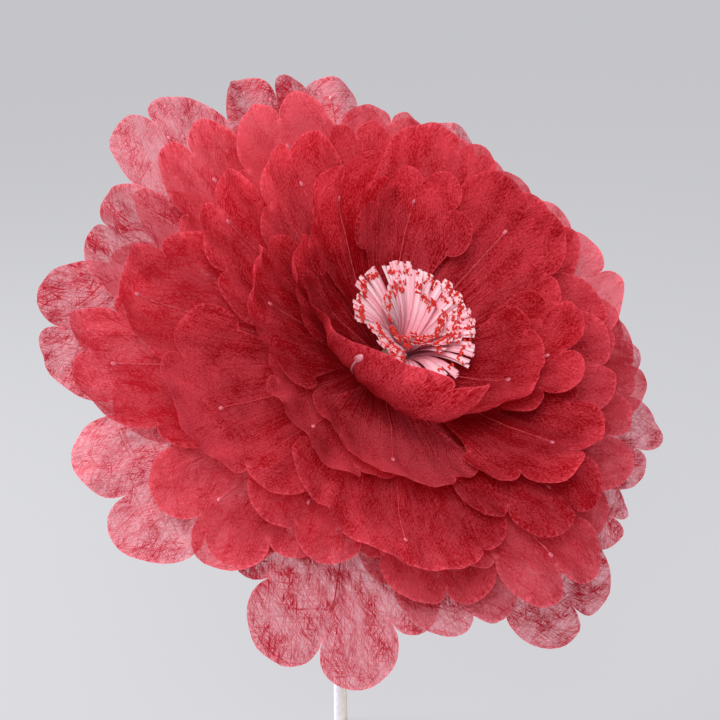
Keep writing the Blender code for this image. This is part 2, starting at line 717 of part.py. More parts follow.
def main():
    """Build the whole flower."""
    clear_scene()
    stem = add_empty("stem", (0.0, 0.0, 0.0), (0.0, 0.0, 0.0))
    head = add_empty("flower_head", head_location(), (math.radians(HEAD_TILT), 0.0, 0.0))
    build_pole(stem)
    build_wrap(stem)
    build_tape(stem)
    build_neck(stem)
    build_core(head)
    fringe_paper = make_material("fringe_paper", FRINGE_PINK, 0.8)
    for fringe in FRINGES:
        build_fringe(fringe, head, fringe_paper)
    build_petals(head)


main()
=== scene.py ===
"""Look of a large layered paper peony on a white wrapped pole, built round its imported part.

Each petal is cut flat from long-fibre paper, stiffened with a papered wire and bent onto one cup
of a nested family. The heart is a rolled fringe of pale strips with red grains on their ends.
"""

import logging
import math
from dataclasses import dataclass
from enum import Enum

import bmesh
import bpy
import numpy as np
from mathutils import Matrix, Vector, noise
from mathutils.geometry import delaunay_2d_cdt

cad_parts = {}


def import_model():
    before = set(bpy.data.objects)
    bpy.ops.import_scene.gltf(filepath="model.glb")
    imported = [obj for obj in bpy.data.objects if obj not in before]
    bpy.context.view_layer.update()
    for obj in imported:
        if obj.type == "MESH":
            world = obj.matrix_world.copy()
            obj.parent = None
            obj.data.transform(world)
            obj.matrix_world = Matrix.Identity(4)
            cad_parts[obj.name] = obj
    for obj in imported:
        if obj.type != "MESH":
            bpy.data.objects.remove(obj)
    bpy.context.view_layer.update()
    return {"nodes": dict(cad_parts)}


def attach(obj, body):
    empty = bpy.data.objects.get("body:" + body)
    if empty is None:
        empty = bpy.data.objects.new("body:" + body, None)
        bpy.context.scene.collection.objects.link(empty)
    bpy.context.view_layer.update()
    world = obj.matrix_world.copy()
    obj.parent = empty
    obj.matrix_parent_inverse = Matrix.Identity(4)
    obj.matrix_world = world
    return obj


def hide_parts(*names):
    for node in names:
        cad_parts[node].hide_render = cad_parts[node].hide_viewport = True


LOG = logging.getLogger("peony")
Colour = tuple[float, float, float]

GAP = 0.0003

# Pole, neck and core, in metres and degrees
POLE_LENGTH = 0.354
POLE_RADIUS = 0.0070
WRAP_THICKNESS = 0.0007
WRAP_START = 0.0020
NECK_RADIUS = 0.0080
NECK_BEND_RADIUS = 0.120
NECK_FOOT = 0.025
NECK_STRAIGHT = 0.049
BINDING_THICKNESS = 0.0008
BINDING_LENGTH = 0.045
HEAD_TILT = math.radians(47.0)
CORE_RADIUS = 0.0140
CORE_BELOW = 0.009
CORE_ABOVE = 0.058
SOCKET_DEPTH = 0.025
SPIGOT_RADIUS = 0.0035

# Petal paper
PAPER = 0.0006
FOOT_WIDTH = 0.010
RIB_START = 0.012
SWAY = 0.26
SWAY_START = 0.30
WAVES = 1.1
FREE_START = 0.70
RELIEF_RISE = 3.0
CROWN_CENTRE = 0.60
SIDE_TAPER = 1.35
BROAD_TAB = 1.7
FAN_APEX = 0.05
FAN_PLEATS = 52.0
SNIP_RATE = 0.09
SNIP_DEPTH = 0.018
LOBE_STEP = 3.0
LOBE_POINTS = 6
SIDE_POINTS = 22
NORMAL_STEP = 0.0005
SMALL_TURN = 1e-6
LEVEL_SEED = 7.31
AZIMUTH_SEED = 0.173

# Sheets, wires and tabs of the petals
PAPER_WIDE = 5.0
PAPER_LONG = 3.0
MERGE_DISTANCE = 1e-7
FLAT_RISE = 1e-12
EDGE_INSET = 0.0011
EDGE_CLEAR = 0.0009
GRID_CLEAR = 0.45
ROW_SHARE = 0.866
WIRE_RADIUS = 0.0007
WIRE_STEPS = 24
WIRE_SIDES = 6
TAB_SIDES = 16
TAB_LIFT = 0.0002
TAB_BACK = 0.2
TAB_PROFILE = ((0.0, 0.0016), (0.55, 0.0014), (0.9, 0.0007), (1.0, 0.0), (0.9, -0.0002))

# Wound tape
WOUND_SIDES = 40
WOUND_STEP = 0.0012
NECK_STEP = 0.0014
NECK_PATH_STEPS = 30
LAP_DROP = 5.0
LAP_START = 0.35
SHARP_EDGE = math.radians(50.0)

# Fringe
FRINGE_ROLL = 0.0028
FRINGE_DRIFT = 0.024
FRINGE_DRIFT_AZIMUTH = math.radians(330.0)
BUNDLE_SHARE = 0.80
STRIP_THICKNESS = 0.00035
STRIP_STEPS = 7
STRIP_FOOT = 0.002
BUNDLE_SHIFT = 0.12
STRIP_SHIFT = 0.03
STRIP_TILT = 0.04
SPLAY_SHIFT = 0.05
STRIP_TWIST = 0.16
BUNDLE_SIZE = (0.90, 1.0)
STRIP_SIZE = (-0.04, 0.03)
GRAIN_REACH = (0.99, 0.96, 0.92, 0.87)
GRAIN_RADIUS = 0.0016
GRAIN_COUNT = 8
GRAIN_OUT = (-0.0022, 0.0006)
GRAIN_UP = (-0.0034, 0.0024)
GRAIN_SIDE = 0.7
GRAIN_STRETCH = (0.6, 1.3)
GRAIN_FLAT = 0.9
GRAIN_SEED_STEP = 20.0

# Long fibres and fine strands of the paper: direction in degrees, width and length of the pattern
LONG_FIBRES = (
    (-24.0, 0.0038, 0.075),
    (31.0, 0.0042, 0.070),
    (-58.0, 0.0052, 0.062),
    (67.0, 0.0056, 0.060),
    (6.0, 0.0060, 0.080),
)
STRANDS = ((9.0, 0.0010, 0.028), (-31.0, 0.0010, 0.024))
THREAD_WIDTH = 0.048
STRAND_SPAN = (0.84, 1.16)
WARP_SCALE = 22.0
WARP_REACH = (0.009, 0.009, 0.0)
CLOUD_TURN = 8.0
CLOUD_SIZE = (0.022, 0.040, 1.0)
CLOUD_SPAN = (0.30, 0.70)
CLOUD_DETAIL = 2.5

# Look of the petals: dye, folds, crepe and surface; painted shade to the foot and in the crepe, painted
# highlights on the pleat ridges
FOOT_END = 0.92
DYE_SCALE = 3.0
DYE_SPREAD = 0.9
FOLD_HEIGHT = 4.0
CREPE_SIZE = (0.0013, 0.0030, 1.0)
# Painted shade and light of the crepe's small bumps, added to the colour
CREPE_PAINTED_SHADE = 1.6
# Width and strength of the painted highlights on the pleat ridges
CREASE_WIDTH = 0.034
PAINTED_RIDGE_HIGHLIGHT = -0.62
PAPER_BUMP = 0.7
PAPER_ROUGHNESS = 0.85
PAPER_SPECULAR = 0.06

# Look of the speckled finishes and of the wood
FINE_SCALE = 9.0
MOTTLE_SHARE = 0.7
FINE_SHARE = 0.3
MOTTLE_SPAN = (0.38, 0.62)
MOTTLE_BUMP = 0.6
ROUGH_SPREAD = 0.2
WOOD_GRAIN = (0.0016, 0.0016, 0.05)
WOOD_SPAN = (0.35, 0.65)
WOOD_ROUGHNESS = 0.6
WOOD_RELIEF = 0.0002
SOFT_BUMP = 0.4

# Look of the strips
STRIP_GRAIN = 700.0
STRIP_PALE = (0.20, 0.85)
STRIP_SHADE = (0.15, 0.75)
STRIP_TONE = 0.45
STRIP_FINE = 0.25
STRIP_RELIEF = 0.0003
STRIP_ROUGHNESS = 0.7
STRIP_GLOW = 0.48
STRIP_SHADOW = 0.75

# Studio
FLOOR_HALF = 20.0
FLOOR_COLOUR = (0.62, 0.63, 0.66, 1.0)
FLOOR_SEEN = (0.61, 0.61, 0.64, 1.0)
FLOOR_SHARE = 0.88
FLOOR_ROUGHNESS = 0.9
SURROUND_SEEN = (0.62, 0.62, 0.65, 1.0)
SURROUND_LIGHT = (0.60, 0.61, 0.65, 1.0)
SURROUND_STRENGTH = 0.36


class Lobes(Enum):
    """Angles of the notches across a petal's crown, from its left side to its right side."""

    PAIR = (-106.0, -57.0, 0.0, 57.0, 106.0)
    PAIR_LEFT = (-106.0, -62.0, 7.0, 54.0, 106.0)
    PAIR_RIGHT = (-106.0, -54.0, -8.0, 60.0, 106.0)
    TRIO = (-106.0, -72.0, -24.0, 26.0, 74.0, 106.0)
    BROAD = (-106.0, -52.0, 52.0, 106.0)


@dataclass(frozen=True)
class Cup:
    """One cup of the nested family: its foot on the core and its lean from the flower axis."""

    foot: float
    root_lean: float
    tip_lean: float
    reach: float


CUPS = (
    Cup(0.000, 86.0, 93.0, 0.39),
    Cup(0.006, 82.0, 87.5, 0.38),
    Cup(0.012, 78.0, 80.5, 0.35),
    Cup(0.018, 74.0, 73.5, 0.32),
    Cup(0.024, 70.0, 66.0, 0.29),
    Cup(0.030, 66.5, 58.0, 0.26),
    Cup(0.036, 63.5, 49.0, 0.23),
    Cup(0.042, 61.0, 39.0, 0.20),
    Cup(0.048, 59.0, 28.0, 0.18),
    Cup(0.054, 57.0, 16.0, 0.16),
)


def cup_at(level: float) -> Cup:
    """Return the cup at a level, also between two listed ones.

    Args:
        level: The place in the nested family, 0 for the outermost cup.

    Returns:
        The cup, with its values blended between its neighbours'.
    """
    lower = min(max(int(math.floor(level)), 0), len(CUPS) - 2)
    share = level - lower
    a = CUPS[lower]
    b = CUPS[lower + 1]
    return Cup(
        a.foot + (b.foot - a.foot) * share,
        a.root_lean + (b.root_lean - a.root_lean) * share,
        a.tip_lean + (b.tip_lean - a.tip_lean) * share,
        a.reach + (b.reach - a.reach) * share,
    )


@dataclass(frozen=True)
class Crinkle:
    """One pattern of small folds: how close they lie across and along a petal, and how high."""

    across: float
    along: float
    shift: float
    height: float

    def at(self, across: float, along: float, seed: float) -> float:
        """Return the height of the folds at a point of the petal with that seed."""
        place = Vector((across * self.across, along * self.along, seed + self.shift))
        return noise.noise(place) * self.height


PLEAT = Crinkle(0.3 * FAN_PLEATS, 4.0, 0.0, 0.0030)
CREASE = Crinkle(17.0, 6.0, 2.0, 0.0100)
WRINKLE = Crinkle(95.0, 60.0, 5.0, 0.0014)
CRUMPLE = Crinkle(34.0, 22.0, 9.0, 0.0046)


@dataclass(frozen=True)
class PetalCut:
    """One petal: its cup, its place round the axis, its flat cut and how it is bent."""

    level: float
    azimuth: float
    length: float
    width: float
    lobes: Lobes
    notch_depth: float
    rib_end: float
    cup: float = 0.0
    tip: float = 0.0
    twist: float = 0.0
    wave: float = 0.0
    phase: float = 0.0
    curl: float = 0.0
    side_curl: float = 0.0
    free: float = FREE_START
    rib_outside: bool = False

    def seed(self) -> float:
        """Return a number that no other petal has."""
        return self.level * LEVEL_SEED + self.azimuth * AZIMUTH_SEED

    def sway(self, across: float, along: float) -> float:
        """Return how far a point lies from the petal's own cup, as a share of a level.

        Args:
            across: Distance from the petal's middle line.
            along: Distance from the petal's foot.

        Returns:
            The offset, in levels of the nested family.
        """
        side = 2.0 * across / self.width
        share = along / self.length
        turn = 2.0 * math.pi * WAVES * side + math.radians(self.phase)
        bend = self.cup * side * side + self.tip * share**3 + self.twist * side * share
        bend += self.wave * share * share * math.sin(turn)
        fade = min(1.0, max(0.0, share / SWAY_START))
        swayed = SWAY * math.tanh(bend) * fade * fade * (3.0 - 2.0 * fade)
        over = max(0.0, share - self.free) / (1.0 - self.free)
        return swayed + (self.curl + self.side_curl * side) * over * over

    def bent(self, across: float, along: float) -> Vector:
        """Bend one point of the flat petal onto its cup, at azimuth 0.

        Args:
            across: Distance from the petal's middle line.
            along: Distance from the petal's foot.

        Returns:
            The point in the flower head's own axes.
        """
        apex = CORE_RADIUS + GAP + 0.5 * PAPER
        distance = math.hypot(across, along + apex)
        swing = math.atan2(across, along + apex)
        reached = distance - apex
        cup = cup_at(self.level + self.sway(across, max(reached, 0.0)))
        start = math.radians(cup.root_lean)
        rate = math.radians(cup.tip_lean - cup.root_lean) / cup.reach
        radius = apex + reached * math.sin(start)
        height = cup.foot + reached * math.cos(start)
        if abs(rate) > SMALL_TURN:
            end = start + rate * reached
            radius = apex + (math.cos(start) - math.cos(end)) / rate
            height = cup.foot + (math.sin(end) - math.sin(start)) / rate
        turn = swing * distance / radius
        return Vector((radius * math.sin(turn), radius * math.cos(turn), height))

    def normal(self, across: float, along: float) -> Vector:
        """Return the direction square to the bent petal, towards the flower's heart.

        Args:
            across: Distance from the petal's middle line.
            along: Distance from the petal's foot.

        Returns:
            A direction of length 1.
        """
        point = self.bent(across, along)
        beside = self.bent(across + NORMAL_STEP, along) - point
        beyond = self.bent(across, along + NORMAL_STEP) - point
        return beside.cross(beyond).normalized()

    def relief(self, across: float, along: float) -> float:
        """Return the height of the paper's small crinkles at a point.

        Args:
            across: Distance from the petal's middle line.
            along: Distance from the petal's foot.

        Returns:
            The offset along the petal's normal, in metres.
        """
        share = min(1.0, max(0.0, along / self.length))
        seed = self.seed()
        pleat = PLEAT.at(math.atan2(across, along + FAN_APEX), along, seed)
        crease = -abs(CREASE.at(across, along, seed))
        crumple = CRUMPLE.at(across, along, seed) + WRINKLE.at(across, along, seed)
        return (pleat + crease + crumple * share) * min(1.0, share * RELIEF_RISE)

    def crown(self, angle: float, depth: float) -> Vector:
        """Return a point of the crown's edge at an angle from the petal's middle line.

        Args:
            angle: Degrees from the middle line, seen from the crown's centre.
            depth: How far the edge is cut in, as a share.

        Returns:
            The point on the flat sheet.
        """
        turn = math.radians(angle)
        scale = 1.0 - depth
        reach = CROWN_CENTRE + (1.0 - CROWN_CENTRE) * math.cos(turn) * scale
        return Vector((0.5 * self.width * math.sin(turn) * scale, self.length * reach))

    def lobe(self, start: float, end: float) -> list[Vector]:
        """Return the round lobe between two notches, without its last point.

        Args:
            start: Angle of the notch that it starts from.
            end: Angle of the notch that it ends at.

        Returns:
            Points on the flat sheet.
        """
        count = max(LOBE_POINTS, round(abs(end - start) / LOBE_STEP))
        points = []
        for number in range(count):
            share = 0.5 - 0.5 * math.cos(math.pi * number / count)
            bulge = math.sqrt(max(0.0, 1.0 - (2.0 * share - 1.0) ** 2))
            angle = start + (end - start) * share
            snip = noise.noise(Vector((angle * SNIP_RATE, self.seed(), 3.0))) * SNIP_DEPTH * bulge
            points.append(self.crown(angle, self.notch_depth * (1.0 - bulge) + snip))
        return points

    def side(self, corner: Vector) -> list[Vector]:
        """Return points down one side, from the crown's corner to the foot, without the ends.

        Args:
            corner: Where the side meets the crown.

        Returns:
            Points on the flat sheet.
        """
        foot = math.copysign(0.5 * FOOT_WIDTH, corner.x)
        shares = [1.0 - number / SIDE_POINTS for number in range(1, SIDE_POINTS)]
        return [Vector((foot + (corner.x - foot) * s**SIDE_TAPER, corner.y * s)) for s in shares]

    def outline(self) -> list[Vector]:
        """Return the flat outline of the petal.

        Returns:
            A closed loop of points, clockwise from the crown's left corner.
        """
        notches = self.lobes.value
        loop: list[Vector] = []
        for start, end in zip(notches, notches[1:]):
            loop += self.lobe(start, end)
        last = self.crown(notches[-1], self.notch_depth)
        loop.append(last)
        loop += self.side(last)
        apex = CORE_RADIUS + GAP + 0.5 * PAPER
        for part in (1.0, 0.5, 0.0, -0.5, -1.0):
            angle = part * 0.5 * FOOT_WIDTH / apex
            loop.append(Vector((apex * math.sin(angle), apex * math.cos(angle) - apex)))
        loop += list(reversed(self.side(loop[0])))
        return loop


# Each petal: cup, azimuth in degrees, length, width, notches, their depth and the wire's end
OUTER_CUTS = (
    PetalCut(0.0, 218, 0.362, 0.250, Lobes.PAIR, 0.32, 0.80, cup=-0.6, tip=-0.4, wave=0.5,
             phase=20, curl=-0.3),
    PetalCut(0.0, 292, 0.382, 0.240, Lobes.PAIR, 0.22, 0.84, cup=0.4, tip=0.2, wave=0.5, curl=0.4,
             free=0.90),
    PetalCut(0.6, 337, 0.396, 0.230, Lobes.PAIR, 0.20, 0.86, cup=0.5, tip=0.3, wave=0.5, phase=90),
    PetalCut(0.0, 18, 0.404, 0.205, Lobes.TRIO, 0.20, 0.92, cup=0.3, tip=0.2, wave=0.6),
    PetalCut(0.0, 66, 0.394, 0.215, Lobes.PAIR_LEFT, 0.14, 0.90, cup=0.6, tip=0.4, wave=0.5, phase=40),
    PetalCut(0.0, 114, 0.390, 0.230, Lobes.TRIO, 0.24, 0.88, cup=-0.3, tip=-0.2, wave=0.6),
    PetalCut(0.0, 162, 0.362, 0.250, Lobes.PAIR, 0.24, 0.86, cup=0.8, tip=0.2, twist=0.6, wave=0.4),
    PetalCut(0.6, 260, 0.390, 0.245, Lobes.PAIR, 0.32, 0.80, cup=0.5, twist=-0.5, wave=0.4),
    PetalCut(1.2, 309, 0.355, 0.205, Lobes.PAIR, 0.18, 0.82, cup=0.3, wave=0.4, phase=120,
             curl=0.3, side_curl=0.7, free=0.84),
    PetalCut(1.2, 0, 0.380, 0.190, Lobes.PAIR_LEFT, 0.30, 0.88, cup=0.4, tip=0.3, wave=0.6),
    PetalCut(0.6, 43, 0.385, 0.215, Lobes.TRIO, 0.18, 0.88, cup=0.3, wave=0.6, phase=30),
    PetalCut(0.6, 97, 0.370, 0.182, Lobes.PAIR, 0.18, 0.86, cup=0.7, tip=-0.3, wave=0.4),
    PetalCut(0.6, 141, 0.335, 0.150, Lobes.PAIR, 0.20, 0.84, cup=-0.5, wave=0.5, phase=70),
    PetalCut(0.6, 188, 0.305, 0.214, Lobes.PAIR_RIGHT, 0.24, 0.88, cup=0.2, tip=-0.5, wave=0.6),
)

SECOND_CUTS = (
    PetalCut(1.2, 250, 0.345, 0.210, Lobes.PAIR, 0.30, 0.80, cup=0.5, wave=0.6, phase=60, curl=0.3,
             free=0.86),
    PetalCut(1.8, 280, 0.388, 0.186, Lobes.PAIR_LEFT, 0.22, 0.84, cup=0.4, tip=0.3, wave=0.5,
             curl=0.6, free=0.88),
    PetalCut(1.8, 333, 0.335, 0.195, Lobes.PAIR, 0.24, 0.80, cup=0.6, tip=0.5, wave=0.3, curl=0.4,
             free=0.88),
    PetalCut(1.8, 26, 0.335, 0.190, Lobes.PAIR, 0.20, 0.82, cup=0.3, wave=0.6, phase=50),
    PetalCut(1.2, 65, 0.360, 0.215, Lobes.PAIR_RIGHT, 0.18, 0.84, cup=0.5, wave=0.5),
    PetalCut(1.8, 106, 0.335, 0.200, Lobes.PAIR, 0.18, 0.82, cup=0.5, tip=-0.4, wave=0.5),
    PetalCut(1.2, 152, 0.305, 0.220, Lobes.PAIR, 0.22, 0.80, cup=-0.5, twist=0.6, wave=0.6),
    PetalCut(1.8, 196, 0.285, 0.190, Lobes.PAIR, 0.20, 0.82, cup=0.2, tip=-0.5, wave=0.5),
    PetalCut(2.4, 235, 0.290, 0.195, Lobes.PAIR, 0.28, 0.78, cup=0.5, tip=0.4, wave=0.5),
    PetalCut(2.4, 292, 0.338, 0.200, Lobes.BROAD, 0.22, 0.90, cup=0.7, tip=0.5, wave=0.3, curl=0.7,
             side_curl=0.4, free=0.82),
    PetalCut(3.0, 352, 0.315, 0.205, Lobes.PAIR, 0.22, 0.82, cup=0.5, tip=0.3, wave=0.5, curl=0.4,
             free=0.88),
    PetalCut(2.4, 44, 0.320, 0.215, Lobes.PAIR_LEFT, 0.18, 0.82, cup=0.5, wave=0.5),
    PetalCut(3.0, 86, 0.310, 0.200, Lobes.PAIR, 0.16, 0.82, cup=0.7, wave=0.5, phase=30, curl=0.5,
             free=0.86),
    PetalCut(2.4, 130, 0.300, 0.205, Lobes.PAIR_RIGHT, 0.30, 0.80, cup=0.4, wave=0.6),
    PetalCut(3.0, 172, 0.325, 0.205, Lobes.PAIR, 0.32, 0.84, cup=0.5, tip=-0.5, wave=0.5,
             curl=-0.5, free=0.82),
)

MIDDLE_CUTS = (
    PetalCut(3.6, 212, 0.288, 0.250, Lobes.BROAD, 0.14, 0.86, cup=-0.3, tip=-0.6, wave=0.4,
             curl=0.5, free=0.68),
    PetalCut(3.0, 265, 0.330, 0.222, Lobes.BROAD, 0.26, 0.76, cup=0.5, tip=0.5, wave=0.5, curl=0.6,
             free=0.76),
    PetalCut(3.6, 317, 0.280, 0.180, Lobes.PAIR, 0.28, 0.84, cup=0.6, tip=0.4, wave=0.5, curl=0.6,
             free=0.84),
    PetalCut(3.6, 12, 0.275, 0.150, Lobes.PAIR_RIGHT, 0.20, 0.82, cup=0.5, tip=0.3, wave=0.5),
    PetalCut(3.6, 70, 0.280, 0.190, Lobes.PAIR, 0.26, 0.80, cup=0.5, tip=0.3, wave=0.5, curl=0.5,
             free=0.88),
    PetalCut(4.2, 100, 0.265, 0.170, Lobes.PAIR_LEFT, 0.18, 0.80, cup=0.5, tip=-0.3, wave=0.6),
    PetalCut(4.2, 163, 0.275, 0.195, Lobes.PAIR, 0.34, 0.80, cup=0.4, tip=-0.3, wave=0.6,
             curl=-0.4, free=0.78),
    PetalCut(4.2, 248, 0.225, 0.190, Lobes.PAIR, 0.24, 0.78, cup=0.5, tip=0.3, wave=0.5, curl=0.5,
             free=0.74),
    PetalCut(4.8, 293, 0.230, 0.180, Lobes.BROAD, 0.22, 0.78, cup=0.6, tip=0.3, wave=0.5, curl=0.8,
             side_curl=0.5, free=0.76),
    PetalCut(4.2, 345, 0.262, 0.180, Lobes.PAIR, 0.22, 0.80, cup=0.5, tip=0.4, wave=0.5, curl=0.5,
             free=0.88),
    PetalCut(4.8, 34, 0.268, 0.200, Lobes.PAIR_LEFT, 0.20, 0.82, cup=0.5, tip=0.4, wave=0.5,
             curl=0.5, free=0.86),
    PetalCut(4.8, 116, 0.250, 0.190, Lobes.PAIR, 0.24, 0.80, cup=0.5, tip=0.2, wave=0.6),
    PetalCut(4.8, 217, 0.195, 0.200, Lobes.BROAD, 0.18, 0.80, cup=0.4, tip=-0.5, wave=0.5,
             curl=0.5, free=0.66),
)

INNER_CUTS = (
    PetalCut(5.4, 154, 0.245, 0.185, Lobes.PAIR, 0.26, 0.80, cup=0.5, tip=-0.2, wave=0.6, curl=0.4,
             free=0.72),
    PetalCut(6.8, 256, 0.180, 0.235, Lobes.BROAD, 0.10, 0.92, cup=-0.3, curl=1.5, side_curl=-1.7,
             free=0.42, rib_outside=True),
    PetalCut(6.8, 339, 0.238, 0.150, Lobes.PAIR, 0.30, 0.78, cup=0.8, tip=0.5, curl=0.7,
             side_curl=0.9, free=0.66),
    PetalCut(6.0, 62, 0.236, 0.205, Lobes.PAIR, 0.22, 0.80, cup=0.5, tip=0.3, wave=0.5, curl=0.8,
             free=0.76),
    PetalCut(6.0, 309, 0.190, 0.125, Lobes.BROAD, 0.24, 0.76, cup=0.5, tip=0.5, wave=0.3, curl=0.5,
             side_curl=-0.4, free=0.75),
    PetalCut(7.4, 16, 0.205, 0.150, Lobes.PAIR, 0.26, 0.80, cup=0.5, tip=0.4, wave=0.4, curl=0.4,
             free=0.66),
    PetalCut(6.8, 122, 0.208, 0.155, Lobes.PAIR, 0.36, 0.78, cup=0.7, tip=0.2, curl=0.6,
             side_curl=-0.9, free=0.55),
    PetalCut(7.6, 140, 0.160, 0.176, Lobes.BROAD, 0.14, 0.76, cup=0.6, curl=0.5, side_curl=0.4,
             free=0.50),
)


def lean_direction(lean: float) -> Vector:
    """Return the direction of the stem where it leans by an angle towards -Y."""
    return Vector((0.0, -math.sin(lean), math.cos(lean)))


def neck_path(end_length: float, steps: int) -> list[tuple[Vector, Vector]]:
    """Return places and directions along the neck: foot, bend and the straight end.

    Args:
        end_length: Length of the straight end past the bend.
        steps: Number of steps in the bend and in each straight.

    Returns:
        Pairs of a place and a direction, from the pole to the core.
    """
    foot = Vector((0.0, 0.0, POLE_LENGTH + GAP))
    start = Vector((0.0, 0.0, POLE_LENGTH + NECK_FOOT))
    path = [(foot.lerp(start, n / steps), lean_direction(0.0)) for n in range(steps)]
    for number in range(steps * 3):
        lean = HEAD_TILT * number / (steps * 3)
        offset = Vector((0.0, math.cos(lean) - 1.0, math.sin(lean))) * NECK_BEND_RADIUS
        path.append((start + offset, lean_direction(lean)))
    corner = start + Vector((0.0, math.cos(HEAD_TILT) - 1.0, math.sin(HEAD_TILT))) * NECK_BEND_RADIUS
    onward = lean_direction(HEAD_TILT)
    path += [(corner + onward * (end_length * n / steps), onward) for n in range(steps + 1)]
    return path


def head_matrix() -> Matrix:
    """Return the flower head's place: where the lowest petals' feet meet the flower axis."""
    place = neck_path(NECK_STRAIGHT, NECK_PATH_STEPS)[-1][0]
    return Matrix.Translation(place) @ Matrix.Rotation(HEAD_TILT, 4, "X")


def make_object(name: str, mesh: bpy.types.Mesh) -> bpy.types.Object:
    """Return a new object for a mesh, linked to the scene.

    Args:
        name: Name of the object.
        mesh: Its mesh.

    Returns:
        The new object, at the origin.
    """
    obj = bpy.data.objects.new(name, mesh)
    bpy.context.scene.collection.objects.link(obj)
    return obj


def make_mesh(name: str, points: list, faces: list, material: bpy.types.Material) -> bpy.types.Mesh:
    """Return a smooth mesh with one material.

    Args:
        name: Name of the mesh.
        points: Its vertices, in the frame's axes.
        faces: Its faces, as lists of vertex numbers.
        material: The finish that it wears.

    Returns:
        The new mesh.
    """
    mesh = bpy.data.meshes.new(name)
    mesh.from_pydata([tuple(point) for point in points], [], faces)
    mesh.materials.append(material)
    mesh.shade_smooth()
    return mesh


def ring_faces(rows: int, sides: int, first: int) -> list[list[int]]:
    """Return the faces between rings of points that follow each other.

    Args:
        rows: Number of rings.
        sides: Number of points in each.
        first: Number of the first ring's first point.

    Returns:
        The faces, as lists of vertex numbers.
    """
    faces = []
    for row in range(rows - 1):
        for step in range(sides):
            after = (step + 1) % sides
            low = first + row * sides
            faces.append([low + step, low + after, low + sides + after, low + sides + step])
    return faces


def turn_outwards(mesh: bpy.types.Mesh) -> None:
    """Point every face of a closed mesh outwards.

    Args:
        mesh: The mesh.
    """
    work = bmesh.new()
    work.from_mesh(mesh)
    bmesh.ops.recalc_face_normals(work, faces=work.faces)
    work.to_mesh(mesh)
    work.free()


GROUP_NODES = {"ShaderNodeTree": "ShaderNodeGroup", "GeometryNodeTree": "GeometryNodeGroup"}


